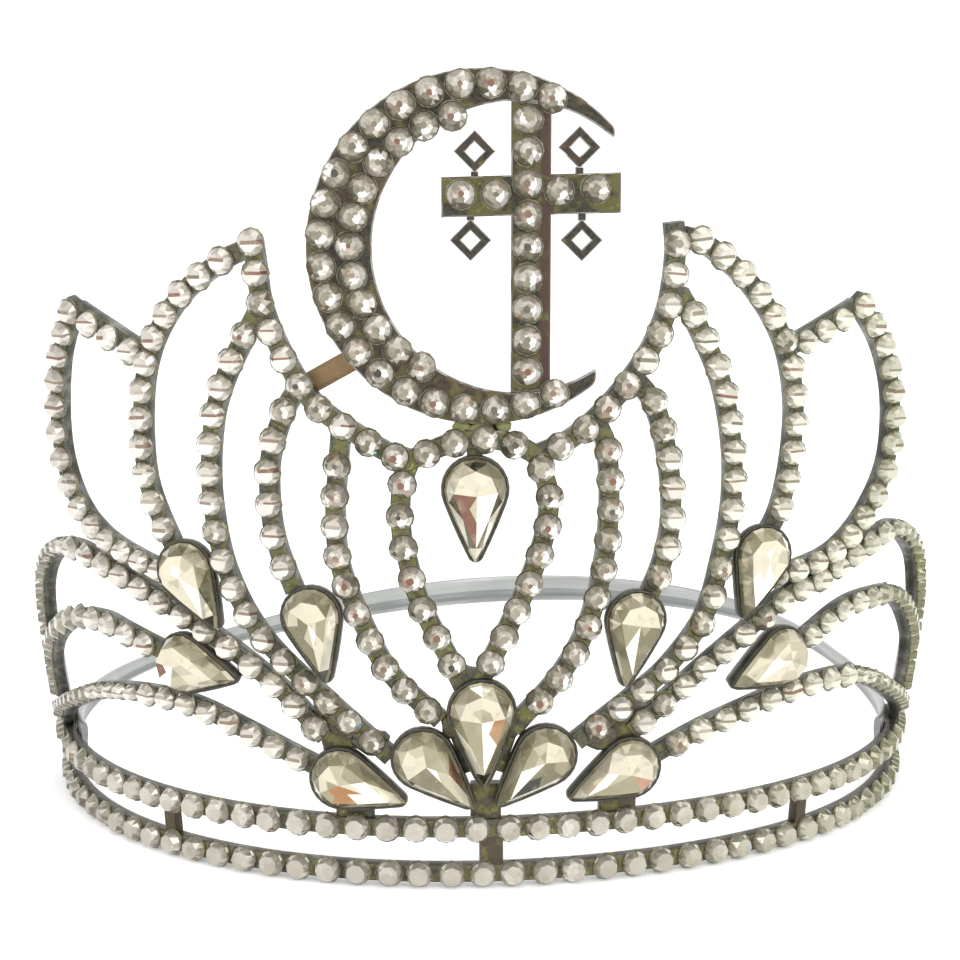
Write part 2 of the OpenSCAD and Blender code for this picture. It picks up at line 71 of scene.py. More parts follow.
def facing(az, ease):
    """The way a strip looks: square to the oval at ease 0, and straight ahead at ease 1."""
    turn = math.degrees(math.atan((ring(az + 1) - ring(az - 1)) * 90 / math.pi / ring(az)))
    a = math.radians((az - turn) * (1 - ease))
    return Vector((math.sin(a), -math.cos(a), 0))


def square_to(f, t):
    return (f - f.dot(t) * t).normalized()


def curve(rows, steps):
    """A smooth line through rows of azimuth and height."""
    last = len(rows) - 1
    row = [Vector(r) for r in rows]
    row = [2 * row[0] - row[1]] + row + [2 * row[last] - row[last - 1]]
    line = []
    for i in range(last):
        a, b, c, d = row[i:i + 4]
        for j in range(steps):
            t = j / steps
            line.append(0.5 * (2 * b + (c - a) * t + (2 * a - 5 * b + 4 * c - d) * t * t
                               + (3 * b - a - 3 * c + d) * t ** 3))
    return line + [row[-2]]


class Shape:
    """Points and faces of one piece, with a colour and a material slot kept for each face."""

    def __init__(self):
        self.points, self.faces, self.tones, self.slots = [], [], [], []

    def add(self, points, faces, tones, slot=0):
        first = len(self.points)
        self.points += [tuple(p) for p in points]
        self.faces += [[first + i for i in f] for f in faces]
        self.tones += tones if isinstance(tones, list) else [tones] * len(faces)
        self.slots += [slot] * len(faces)

    def piece(self, name, materials, crease=None):
        """The finished mesh. It is smooth between edges that turn by more than the crease."""
        mesh = bpy.data.meshes.new(name)
        mesh.from_pydata([[c * MM for c in p] for p in self.points], [], self.faces)
        layer = mesh.color_attributes.new(name="tone", type="FLOAT_COLOR", domain="CORNER")
        flat = []
        for face, tone in zip(self.faces, self.tones):
            flat += [*tone, 1.0] * len(face)
        layer.data.foreach_set("color", flat)
        for material in materials:
            mesh.materials.append(material)
        mesh.polygons.foreach_set("material_index", self.slots)
        if crease:
            mesh.shade_smooth()
            mesh.set_sharp_from_angle(angle=math.radians(crease))
        mesh.update()
        piece = bpy.data.objects.new(name, mesh)
        bpy.context.scene.collection.objects.link(piece)
        return piece


def dress(piece, slot, *nodes):
    """Fixes a piece to the one body in place of the nodes that it dresses. The slot is not used."""
    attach(piece, "root")
    if nodes:
        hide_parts(*nodes)


def tube(rings, around, flip=False):
    """Faces between rings of points that follow each other, and the two ends last. Flip turns
    them over."""
    faces = []
    for i in range(1, rings):
        a, b = (i - 1) * around, i * around
        for k in range(around):
            m = (k + 1) % around
            faces.append([a + k, b + k, b + m, a + m] if flip else [a + k, a + m, b + m, b + k])
    ends = [list(range(around))[::-1], [(rings - 1) * around + k for k in range(around)]]
    return faces + ([end[::-1] for end in ends] if flip else ends)


def rounded(w, t, edge):
    """A strip's section as (side, out) points, and each face's place: outer 1, side 0, rear -1."""
    section = []
    for sx, sy, start in ((1, 0, 0), (-1, 0, 90), (-1, -1, 180), (1, -1, 270)):
        cx = sx * (w / 2 - edge)
        cy = -edge if sy == 0 else -t + edge
        for k in range(CORNER_STEPS + 1):
            a = math.radians(start + 90 * k / CORNER_STEPS)
            section.append((cx + edge * math.cos(a), cy + edge * math.sin(a)))
    where = [1.0 if a[1] > -0.01 and b[1] > -0.01 else -1.0 if max(a[1], b[1]) < edge - t else 0.0
             for a, b in zip(section, section[1:] + section[:1])]
    return section, where


def sweep(shape, spots, faces_to, section, where, tone=(0.5, 0.5)):
    """Runs a section along the spots and closes both ends. A face's tone is outer, glue, brown.
    The rear face and its corners are rubbed clean."""
    last = len(spots) - 1
    points = []
    for i, p in enumerate(spots):
        t = (spots[min(i + 1, last)] - spots[max(i - 1, 0)]).normalized()
        out = square_to(faces_to[i], t)
        side = t.cross(out)
        points += [p + a * side + b * out for a, b in section]
    round_it = [(max(0.0, place), *(tone if place >= 0 else REAR_TONE)) for place in where]
    shape.add(points, tube(last + 1, len(section)), round_it * last + [(0.0, *tone)] * 2)


def strip(shape, rows, ease=0.0, w=STRIP_W, t=STRIP_T, out=0.0, steps=7, tone=(0.5, 0.5)):
    line = curve(rows, steps)
    section, where = rounded(w, t, STRIP_EDGE)
    sweep(shape, [shell(q.x, q.y, out) for q in line], [facing(q.x, ease) for q in line],
          section, where, tone)


class Wire:
    """A value in a material's node tree, with Python's own arithmetic."""

    def __init__(self, paint, socket):
        self.paint, self.socket = paint, socket

    def math(self, operation, other, swap=False):
        pair = (other, self) if swap else (self, other)
        return self.paint.node("ShaderNodeMath", {"operation": operation}, dict(enumerate(pair)))

    def __add__(self, other):
        return self.math("ADD", other)

    def __sub__(self, other):
        return self.math("SUBTRACT", other)

    def __rsub__(self, other):
        return self.math("SUBTRACT", other, True)

    def __mul__(self, other):
        return self.math("MULTIPLY", other)

    __radd__, __rmul__ = __add__, __mul__


class Paint:
    """A material under construction: one Principled shader, and the nodes that feed it."""

    def __init__(self, name, **fixed):
        self.material = bpy.data.materials.new(name)
        self.material.use_nodes = True
        self.tree = self.material.node_tree
        self.shader = self.tree.nodes["Principled BSDF"]
        for socket, value in fixed.items():
            self.shader.inputs[socket.replace("_", " ")].default_value = value
        self.place = self.node("ShaderNodeTexCoord", {}, {}, "Object")

    def node(self, kind, settings, sockets, out=0):
        node = self.tree.nodes.new(kind)
        for key, value in settings.items():
            setattr(node, key, value)
        for key, value in sockets.items():
            if isinstance(value, Wire):
                self.tree.links.new(value.socket, node.inputs[key])
            else:
                node.inputs[key].default_value = value
        return Wire(self, node.outputs[out])

    def feed(self, **wires):
        for socket, wire in wires.items():
            self.tree.links.new(wire.socket, self.shader.inputs[socket.replace("_", " ")])

    def noise(self, scale, detail=3.0, rough=0.55, stretch=None):
        at = self.place
        if stretch:
            at = self.node("ShaderNodeMapping", {}, {"Vector": at, "Scale": stretch})
        return self.node("ShaderNodeTexNoise", {},
                         {"Vector": at, "Scale": scale, "Detail": detail, "Roughness": rough})

    def above(self, wire, low, high):
        """0 below low, 1 above high, smooth between."""
        return self.node("ShaderNodeMapRange", {"interpolation_type": "SMOOTHSTEP"},
                         {"Value": wire, "From Min": low, "From Max": high})

    def mix(self, share, a, b):
        a = (*a, 1.0) if isinstance(a, tuple) else a
        b = (*b, 1.0) if isinstance(b, tuple) else b
        return self.node("ShaderNodeMix", {"data_type": "RGBA"}, {"Factor": share, 6: a, 7: b}, 2)

    def tone(self):
        return self.node("ShaderNodeVertexColor", {"layer_name": "tone"}, {})

    def parts(self, colour):
        split = self.node("ShaderNodeSeparateColor", {}, {0: colour})
        return [Wire(self, split.socket.node.outputs[i]) for i in range(3)]

    def bump(self, height, strength, distance):
        self.feed(Normal=self.node("ShaderNodeBump", {}, {
            "Height": height, "Strength": strength, "Distance": distance}))


def silvered(name, light, dark, face, glue, brown, sheen=0.34, rubbed=None):
    """Silvered steel: bright and lightly scratched on its edges, darker on the outer face between the
    stones, partly with dried glue and green tarnish and partly with painted shade, and bare brown
    where the plating is gone. A stripe 2 mm wide that starts at X = rubbed, in metres, is rubbed bare."""
    paint = Paint(name, IOR=1.42)
    outer, glue_share, brown_share = paint.parts(paint.tone())
    cloud = paint.noise(160, 4)
    grain = paint.noise(1400, 5, 0.6)
    speck = paint.noise(520, 3, 0.55)
    plated = paint.mix(paint.above(cloud - glue_share * 0.3, 0.28, 0.62), dark, light)
    plated = paint.mix(paint.above(grain, 0.56, 0.72) * 0.4, plated, dark)
    bare = paint.above(speck * 0.5 + cloud * 0.5 + brown_share * 0.4, 0.66, 0.76)
    crust = paint.above(speck * 0.6 + cloud * 0.4 + glue_share * 0.3, 0.6, 0.72)
    if rubbed:
        across, _, _ = paint.parts(paint.place)
        fade, end = 0.3 * MM, rubbed + 2 * MM
        worn = paint.above(across, rubbed - fade, rubbed) * (1 - paint.above(across, end - fade, end))
        bare = bare + worn * (1 - bare)
        crust = crust * (1 - worn * paint.above(cloud, 0.35, 0.5))
    plated = paint.mix(bare * 0.85, plated, brown)
    # the outer face's darker colour is partly painted shade between the stones, partly glue and tarnish
    darkened = paint.mix(paint.above(grain, 0.4, 0.62), face, tuple(c * 0.5 for c in face))
    darkened = paint.mix(bare * 0.9, darkened, brown)
    darkened = paint.mix(crust * 0.85, darkened, glue)
    # bright specks in the glue are painted glints
    glue_glints = paint.above(grain, 0.58, 0.68)
    darkened = paint.mix(glue_glints * crust, darkened, tuple(min(1, c * 2.1) for c in glue))
    paint.feed(
        Base_Color=paint.mix(outer, plated, darkened),
        Metallic=0.74 - outer * 0.35 - bare * 0.25,
        Roughness=sheen + grain * 0.18 + outer * 0.15)
    paint.bump(grain + crust * outer * 0.8, 0.35, 0.00012)
    return paint.material


strip_metal = silvered("silvered_strip", light=(0.32, 0.325, 0.31), dark=(0.062, 0.062, 0.052),
                       face=(0.10, 0.097, 0.068), glue=(0.15, 0.15, 0.048), brown=(0.07, 0.052, 0.03))


def level(span, z):
    return [(-span + HOOP_STEP * i, z) for i in range(int(2 * span / HOOP_STEP) + 1)]


hoop_shape = Shape()
for z in (LOWER_Z, UPPER_Z):
    strip(hoop_shape, level(HOOP_END, z), steps=2)
for az, width in POSTS:
    strip(hoop_shape, [(az, LOWER_Z), (az, UPPER_Z)], w=width, t=POST_T, out=POST_OUT, steps=3,
          tone=(0.2, 0.9))
dress(hoop_shape.piece("hoops", [strip_metal], METAL_CREASE), "silvered_metal", "base_hoops")


# Back band. A plain springy band of polished strip, with softly rolled edges, closes the ring
# behind. Its ends are soldered inside the upper hoop.
BAND_T, BAND_END, BAND_INSET = 1.2, 62, STRIP_T + 0.3
BAND_HALF, BAND_SWELL, SWELL_SPAN, FLARE_SPAN = 1.6, 1.6, 75, 30
BAND_Z, BAND_RISE, RISE_FROM, RISE_SPAN = 10.1, 1.4, 90, 35
BAND_STEPS, BAND_AROUND, BAND_CREASE = 118, 20, 50
HOLLOW_DEPTH = 0.22


def band_half(az):
    """Half the band's width, which swells in the middle of the back and flares to its ends."""
    far = abs(az - 180)
    if far < SWELL_SPAN:
        return BAND_HALF + BAND_SWELL * math.cos(math.radians(far * 90 / SWELL_SPAN)) ** 2
    return BAND_HALF + min(1, (far - SWELL_SPAN) / FLARE_SPAN)


def band_height(az):
    return BAND_Z + BAND_RISE * (max(0, abs(az - 180) - RISE_FROM) / RISE_SPAN) ** 2


def oval(a, wide, high, wide_power, high_power):
    """A point of an oval at an angle. It is squarer the smaller the powers are."""
    c, s = math.cos(a), math.sin(a)
    return math.copysign(abs(c) ** wide_power, c) * wide, math.copysign(abs(s) ** high_power, s) * high


band_points, band_groove_shade = [], []
for i in range(BAND_STEPS + 1):
    az = BAND_END + (360 - 2 * BAND_END) * i / BAND_STEPS
    for k in range(BAND_AROUND):
        a = 2 * math.pi * k / BAND_AROUND
        across, up = oval(a, BAND_T / 2, 1, 0.55, 0.8)
        if across < 0:
            # a shallow hollow runs along the inner face
            across += HOLLOW_DEPTH * math.exp(-((up + 0.25) / 0.22) ** 2)
        spot = shell(az, band_height(az), -BAND_INSET - BAND_T / 2 + across)
        band_points.append(spot + UP * up * band_half(az))
        if i:
            # the inner face is painted darker along the hollow: painted shade in the groove
            band_groove_shade.append((max(0.0, -math.cos(a)) * math.exp(-((up + 0.3) / 0.4) ** 2), 0.0, 0.0))
band_shape = Shape()
band_shape.add(band_points, tube(BAND_STEPS + 1, BAND_AROUND, flip=True),
               band_groove_shade + [(0.0, 0.0, 0.0)] * 2)
band_paint = Paint("polished_band", IOR=1.8, Coat_Roughness=0.25)
rub = band_paint.noise(900, 4, 0.6, (0.06, 0.06, 1))
cloud = band_paint.noise(55, 3)
hollow, _, _ = band_paint.parts(band_paint.tone())
band_paint.feed(
    # the groove's painted shade darkens the band's colour
    Base_Color=band_paint.mix(band_paint.above(cloud * 0.4 + rub * 0.4 + hollow * 0.5, 0.3, 0.85),
                              (0.4, 0.41, 0.4), (0.19, 0.2, 0.195)),
    Metallic=0.82 - cloud * 0.1,
    Roughness=0.3 + rub * 0.2)
band_paint.bump(rub, 0.12, 0.00008)
dress(band_shape.piece("band", [band_paint.material], BAND_CREASE), "silvered_metal", "back_band")


# Petal strips. The front is bent from the same strip: a middle petal under an arch, four strips
# on each side that rise to a peak, two outer petals, and three loops on each side. Cup settings
# for the pear stones are soldered between them, with webs of solder in the sharp corners.
PETAL_EASE, OUTER_EASE = 0.35, 0.45

# Each strip's azimuths and heights, in order along it
PEAK_LEFT = [(-23.3, 101.3), (-23.1, 98.1), (-22.6, 91.2), (-20.7, 83.7), (-17.9, 76.8),
             (-13.1, 71.5), (-9.8, 68.6)]
PEAK_RIGHT = [(16.6, 103.9), (16.9, 99), (16.2, 90.8), (14, 83.3), (10.1, 76), (6.5, 71.4),
              (3.7, 69.5)]
ARCH = [(-9.5, 68.2), (-5, 71.2), (-1.5, 71.8), (1.4, 70.7), (3.5, 68.9)]
SIXTH_LEFT = [(-8.7, 69.9), (-9.9, 64), (-10, 57.5), (-9.4, 52.7), (-8.2, 46), (-5.1, 36.3),
              (-3.5, 30.7)]
SIXTH_RIGHT = [(3.5, 67.9), (4.5, 63.3), (4.2, 57.1), (2.5, 49.1), (0, 40.7), (-2.5, 33.3)]
FIFTH_LEFT = [(-15.6, 72.7), (-16, 67.1), (-16.4, 60.1), (-16.1, 52.1), (-14.1, 43.2),
              (-11.3, 34.8), (-6.4, 27.5)]
FIFTH_RIGHT = [(9.5, 73.4), (10.4, 69.8), (10.8, 61), (10.3, 51.5), (8.7, 41.8), (6, 34.4),
               (2.4, 28.3), (1, 25.9)]
FOURTH_LEFT = [(-19.3, 80.1), (-21.1, 75.4), (-22.7, 68), (-22.9, 60), (-22.3, 54.1),
               (-20.8, 47.5)]
FOURTH_RIGHT = [(13, 80.8), (15.4, 76), (17.1, 66.9), (17.6, 58.7), (16.9, 52), (15.5, 46.5)]
THIRD_LEFT = [(-23.2, 90.7), (-27.3, 78.9), (-28.8, 70), (-29.1, 60.3), (-27.9, 49.7),
              (-24.4, 39.7), (-17.9, 30.1), (-15.2, 26.4), (-11.5, 21.3)]
THIRD_RIGHT = [(17.5, 93.3), (19.7, 88.1), (22.6, 79.4), (24.3, 69), (24.6, 60), (23.7, 51),
               (22, 42.1), (18, 34.6), (14, 30), (10.6, 26.4), (7.8, 23.3)]
SECOND_LEFT = [(-24.2, 99.9), (-26.5, 98.1), (-31, 92.8), (-34.7, 84.9), (-36.5, 75.8),
               (-36.8, 63.7), (-34.5, 54.2), (-32.4, 48.7)]
SECOND_RIGHT = [(17.8, 101.9), (20, 100.7), (25.2, 94.6), (29.5, 86), (31.5, 77), (31.8, 68),
                (30.8, 58.7), (28.6, 52.9)]
OUTER_LEFT = [(-44.8, 90.9), (-48.7, 80.9), (-50.6, 67.8), (-48.8, 58.7), (-44.2, 52.9),
              (-36.2, 48.9), (-32.1, 47.4)]
OUTER_RIGHT = [(39.3, 91.4), (44, 83.7), (47.1, 74.5), (47.7, 64.2), (44.6, 56.2), (39.8, 50.6),
               (34.4, 48.3), (29.2, 47.5)]
BROW_LEFT = [(-44.6, 90), (-40.2, 87), (-36, 83.8)]
BROW_RIGHT = [(39.2, 90.4), (36.1, 88.3), (30.8, 84.7)]

# The loops, from the hoops up and over
LOOP1_LEFT = [(-70, 10), (-70, 20), (-68, 30), (-63.5, 39.8), (-56.5, 47.5), (-51, 49.4),
              (-45, 48.2), (-37.4, 44.4), (-30, 39), (-23.1, 31.8), (-18.3, 24.1)]
LOOP2_LEFT = [(-72, 10), (-70, 19), (-66, 26), (-59.5, 32.2), (-52.5, 36.7), (-46.5, 38.1),
              (-42.3, 37.1), (-36, 34.9)]
LOOP3_LEFT = [(-71, 10), (-64, 16.2), (-55.2, 21.5), (-47.4, 25.5), (-39.1, 27.3), (-33, 26.9),
              (-26.9, 24), (-19.1, 19)]
LOOP1_RIGHT = [(71, 10), (71, 20), (69, 30), (63, 40.6), (58.2, 47.2), (51.2, 51.9), (43.7, 49.4),
               (36.2, 45.2), (33.3, 44.4), (27.9, 39.3), (22, 33.4), (13.9, 24.4)]
LOOP2_RIGHT = [(73, 10), (71, 19), (67, 27), (61, 33.4), (54.5, 39.2), (48.3, 40.6), (41.9, 39.8),
               (34.5, 34.8)]
LOOP3_RIGHT = [(72, 10), (65, 16.3), (56.5, 21.7), (49.3, 26), (43.1, 28), (34.9, 27.8),
               (28, 25.8), (21.9, 23.2), (15, 18.9)]

# Pear seats: azimuth and height of the head, swing of the tip toward +X, share of full size, ease
PENDANT = (-2.8, 64.3, 0, 1.02, PETAL_EASE)
FAN_MIDDLE = (-2.2, 29.0, 1, 1.08, PETAL_EASE)
FAN_LEFT = (-8.2, 21.5, 45, 1, PETAL_EASE)
FAN_RIGHT = (4.4, 21.7, -45, 1, PETAL_EASE)
FAN_FAR_LEFT = (-16.6, 17.9, 71, 1, PETAL_EASE)
FAN_FAR_RIGHT = (13.7, 18.7, -67, 1, PETAL_EASE)
PETAL_SEAT_LEFT = (-19, 43.9, 13, 0.97, PETAL_EASE)
PETAL_SEAT_RIGHT = (13.8, 42.8, -9, 0.97, PETAL_EASE)
OUTER_SEAT_LEFT = (-32.4, 49.7, 30, 0.97, OUTER_EASE)
OUTER_SEAT_RIGHT = (28.5, 51.6, -17, 0.97, OUTER_EASE)
LOOP_SEAT_LEFT = (-33.5, 34.2, 84, 1.0, 0)
LOOP_SEAT_RIGHT = (32, 34.2, -72, 1.0, 0)
PEAR_R, PEAR_REACH, TIP_R = 4.6, 11.6, 0.75
TIP_STEPS, SIDE_STEPS, SIDE_BULGE, HEAD_STEPS = 4, 2, 0.12, 16

CUP_TONE, CUP_WALL, CUP_RIM = (0.1, 0.4), 0.4, 1.2
# A cup's section, from its back up the wall and over the rim: growth past the stone, height
CUP_RINGS = ((-0.6, -STRIP_T), (-0.4, -STRIP_T + 0.2), (CUP_WALL + 0.1, -0.1),
             (CUP_WALL + 0.1, CUP_RIM - 0.25), (CUP_WALL * 0.75 + 0.1, CUP_RIM),
             (CUP_WALL * 0.3 + 0.02, CUP_RIM + 0.04), (-0.12, CUP_RIM - 0.12), (0.02, 0.1))
CUP_BACK_RINGS = 3
WEB_STEPS, WEB_FRONT, WEB_BACK = 8, -0.12, -1.7
# A solder lump's section, from its back up: share of the full width, height
LUMP_RINGS = ((0.75, -STRIP_T + 0.15), (1.0, -STRIP_T + 0.5), (1.0, -0.595), (0.82, -0.22), (0.45, -0.12))
LUMP_AROUND = 14

# the cups take a darker copy of the strip metal: painted shade on their walls round the stones
cup_metal = silvered("shaded_cup_metal", light=(0.11, 0.105, 0.09), dark=(0.035, 0.033, 0.026),
                     face=(0.07, 0.066, 0.05), glue=(0.10, 0.10, 0.04), brown=(0.06, 0.045, 0.03),
                     sheen=0.28)


def seat_frame(seat):
    """The place of a pear stone: X along the ring, Y up, Z outward, turned by its swing."""
    az, z, swing, _, ease = seat
    n = facing(az, ease)
    up = square_to(shell(az, z + 1) - shell(az, z), n)
    turn = Matrix((up.cross(n), up, n)).transposed().to_4x4()
    return Matrix.Translation(shell(az, z)) @ turn @ Matrix.Rotation(math.radians(swing), 4, "Z")


def pear_outline(size, grow):
    """Outline of a pear, head at the origin and rounded tip toward -Y."""
    r, reach = PEAR_R * size, PEAR_REACH * size
    low = reach - TIP_R / (r / reach)
    slant = math.asin((r - TIP_R) / low)
    points = []
    for k in range(TIP_STEPS + 1):
        a = -math.pi / 2 + (math.pi / 2 - slant) * k / TIP_STEPS
        points.append(((TIP_R + grow) * math.cos(a), -low + (TIP_R + grow) * math.sin(a)))
    start = points[-1]
    end = ((r + grow) * math.cos(-slant), (r + grow) * math.sin(-slant))
    for k in range(1, SIDE_STEPS + 1):
        f = k / (SIDE_STEPS + 1)
        bulge = SIDE_BULGE * math.sin(math.pi * f)
        points.append((start[0] + (end[0] - start[0]) * f + bulge * math.cos(slant),
                       start[1] + (end[1] - start[1]) * f - bulge * math.sin(slant)))
    for k in range(HEAD_STEPS // 2 + 1):
        a = -slant + (math.pi + 2 * slant) * k / HEAD_STEPS
        points.append(((r + grow) * math.cos(a), (r + grow) * math.sin(a)))
    return points + [(-x, y) for x, y in points[1:-1]][::-1]


def cup(shape, seat):
    """A cup setting: a floor level with the strips, and a thin wall rolled in over the stone."""
    place = seat_frame(seat)
    points, tones = [], []
    for i, (grow, z) in enumerate(CUP_RINGS):
        outline = pear_outline(seat[3], grow)
        points += [place @ Vector((x, y, z)) for x, y in outline]
        if i:
            tones += [(0.55 if i > CUP_BACK_RINGS else 0.15, *CUP_TONE)] * len(outline)
    shape.add(points, tube(len(CUP_RINGS), len(outline)), tones + [(0.0, *CUP_TONE)] * 2, 1)


def web(shape, corner, a, b, ease):
    """A web of solder in the corner between two strips, hollowed from a spot on one to b on the other."""
    corner, a, b = Vector(corner), Vector(a), Vector(b)
    pull = corner * 0.84 + (a + b) * 0.08
    rim = [a * (1 - t) ** 2 + pull * 2 * t * (1 - t) + b * t * t
           for t in (k / WEB_STEPS for k in range(WEB_STEPS + 1))]
    if (a - corner).cross(b - corner) > 0:
        rim = rim[::-1]
    points = [shell(q.x, q.y) + deep * facing(q.x, ease)
              for deep in (WEB_FRONT, WEB_BACK) for q in [corner, *rim]]
    end, back = WEB_STEPS + 1, WEB_STEPS + 2
    faces = []
    for k in range(1, end):
        faces += [[0, k + 1, k], [back, back + k, back + k + 1], [k, k + 1, back + k + 1, back + k]]
    faces += [[0, 1, back + 1, back], [end, 0, back, back + end]]
    shape.add(points, faces, (0.7, 0.35, 0.5))


def solder(shape, az, z, ease, w, h, tone=(0.35, 0.55)):
    """A low lump that fills a corner: a squashed dome with an uneven outline."""
    place = seat_frame((az, z, 0, 1, ease))
    points = []
    for share, height in LUMP_RINGS:
        for k in range(LUMP_AROUND):
            a = 2 * math.pi * k / LUMP_AROUND
            wave = share * (1 + 0.1 * math.sin(3 * a + az) + 0.06 * math.sin(5 * a + z))
            points.append(place @ Vector((w / 2 * wave * math.cos(a), h / 2 * wave * math.sin(a), height)))
    shape.add(points, tube(len(LUMP_RINGS), LUMP_AROUND), (0.6, *tone))


def petal_piece(name, node, ease, runs, cups, bars=(), lumps=(), corners=()):
    """Runs are strips with their share of glue, and bars are short straps with width, thickness
    and out. Lumps have azimuth, height and size, and corners are a web's three spots."""
    shape = Shape()
    for rows, glue in runs:
        strip(shape, rows, ease, tone=(glue, 0.35))
    for seat in cups:
        cup(shape, seat)
    for rows, w, t, out in bars:
        strip(shape, rows, ease, w=w, t=t, out=out, steps=3, tone=(0.4, 0.6))
    for az, z, w, h in lumps:
        solder(shape, az, z, ease, w, h)
    for corner, a, b in corners:
        web(shape, corner, a, b, ease)
    dress(shape.piece(name, [strip_metal, cup_metal], METAL_CREASE), "silvered_metal", node)


FOOT_Z = UPPER_Z + 1.5
petal_piece("crest_strips", "crest_petals", PETAL_EASE,
            [(ARCH, 0.8), (SIXTH_LEFT, 0.75), (SIXTH_RIGHT, 0.75)],
            [PENDANT, FAN_MIDDLE, FAN_LEFT, FAN_RIGHT],
            [([(-1.8, FOOT_Z), (-1.8, 17)], 4.8, 1.6, -0.5),
             ([(-5, 26), (-3.4, 19)], 2.2, 1.4, -0.6), ([(0.9, 26), (-0.6, 19)], 2.2, 1.4, -0.6),
             ([(-2.2, 71), (-2.2, 76.5)], 7.6, 1.6, -2.2), ([(-2.8, 68), (-2.8, 72)], 2.4, 2, 0)],
            [(-5.4, 26.5, 3, 4), (1.1, 26.5, 3, 4)],
            [((-2.9, 32.5), (-0.7, 38.4), (-4.8, 38)), ((-9, 69.2), (-6, 70.4), (-9.7, 65)),
             ((3.5, 69), (1, 70.8), (3.9, 65))])
petal_piece("left_petal_strips", "left_petals", PETAL_EASE,
            [(PEAK_LEFT, 0.45), (FIFTH_LEFT, 0.5), (FOURTH_LEFT, 0.5), (THIRD_LEFT, 0.45)],
            [PETAL_SEAT_LEFT, FAN_FAR_LEFT],
            [([(-15.5, FOOT_Z), (-15.5, 15)], 6, 1.6, -0.5), ([(-17.8, 29), (-16.8, 21)], 5, 1.6, -0.5)],
            [(-13.5, 23.5, 6, 4)],
            [((-19.3, 80.5), (-17.4, 76), (-21.2, 75)), ((-15.4, 73.7), (-12, 70.7), (-15.9, 68)),
             ((-23, 91.5), (-21.2, 85.5), (-25.4, 84.9)), ((-9.7, 68.7), (-12.5, 71.1), (-9.9, 64.8))])
petal_piece("right_petal_strips", "right_petals", PETAL_EASE,
            [(PEAK_RIGHT, 0.45), (FIFTH_RIGHT, 0.55), (FOURTH_RIGHT, 0.55), (THIRD_RIGHT, 0.5)],
            [PETAL_SEAT_RIGHT, FAN_FAR_RIGHT],
            [([(12.7, FOOT_Z), (12.7, 15)], 6, 1.6, -0.5), ([(13.6, 28.5), (13.3, 21.5)], 5, 1.6, -0.5)],
            [(10.6, 23.5, 6, 4)],
            [((13, 81.2), (11, 77.3), (15.2, 76.2)), ((9.3, 74.4), (6.8, 71.7), (10.4, 69.2)),
             ((17, 93.2), (15.3, 87.3), (19.5, 87.6)), ((3.7, 69.3), (6.2, 71.2), (4.3, 64.6))])
petal_piece("left_outer_strips", "left_outer_petals", OUTER_EASE,
            [(SECOND_LEFT, 0.4), (OUTER_LEFT, 0.4), (BROW_LEFT, 0.3)], [OUTER_SEAT_LEFT],
            corners=[((-35.2, 84.4), (-35.9, 79.4), (-38.8, 86)), ((-44.7, 90.6), (-46.2, 87), (-42, 88.2))])
petal_piece("right_outer_strips", "right_outer_petals", OUTER_EASE,
            [(SECOND_RIGHT, 0.4), (OUTER_RIGHT, 0.4), (BROW_RIGHT, 0.3)], [OUTER_SEAT_RIGHT],
            corners=[((30.2, 85.2), (31, 80), (33.6, 86.5)), ((39.3, 91), (41, 88.2), (37, 89))])
petal_piece("left_loop_strips", "left_side_loops", 0,
            [(LOOP1_LEFT, 0.4), (LOOP2_LEFT, 0.4), (LOOP3_LEFT, 0.4)], [LOOP_SEAT_LEFT])
petal_piece("right_loop_strips", "right_side_loops", 0,
            [(LOOP1_RIGHT, 0.4), (LOOP2_RIGHT, 0.4), (LOOP3_RIGHT, 0.4)], [LOOP_SEAT_RIGHT])


# Crescent and cross. Both are sawn from 1.6 mm sheet and stand in one upright plane over the
# front. The plating is rubbed brown, bright only along the sawn edges. Small pierced lozenges
# stand on short stems above and below the cross's arm.
PLATE_Y, PLATE_T, PLATE_EDGE = -89.2, 1.6, 0.22
PLATE_BACK = (0.0, 0.3, 0.0)
CRESCENT_X, CRESCENT_Z, CRESCENT_R, INNER_R, INNER_SHIFT = -3.2, 100.2, 26.1, 21.4, 5.0
ARC_FROM, ARC_TO, ARC_STEP = 30, 330, 2
# the arcs stop 18.5 mm out, along a cut turned by 3.8 degrees, and the tips are filed round
CUT_REACH, CUT_TURN, TIP_FILE, TIP_PULL = 18.5, math.radians(-3.8), 0.5, 0.17
CROSS_X, CROSS_W, ARM_Z, ARM_SLOPE, ARM_LEFT, ARM_RIGHT = 3.9, 5.9, 108.0, 1.5, -9.3, 17.1
# X, height, above the arm, 1, or below it, -1
LOZENGES = ((-4.4, 114.3, 1), (11, 114.9, 1), (-5, 101.4, -1), (11.4, 101.4, -1))
LOZENGE_SIDE, PIERCED_SIDE, STEM_HALF = 4.4, 2.0, 0.6
RUBBED_FROM = 5.4


def inset(points, by):
    """A closed outline moved inward by a distance."""
    n, result = len(points), []
    for i in range(n):
        a, b, c = Vector(points[i - 1]), Vector(points[i]), Vector(points[(i + 1) % n])
        u, v = (b - a).normalized(), (c - b).normalized()
        normal = Vector((-(u.y + v.y), u.x + v.x))
        normal = normal.normalized() / max(0.4, math.sqrt(max(0.0, (1 + u.dot(v)) / 2)))
        result.append(b + normal * by)
    return result


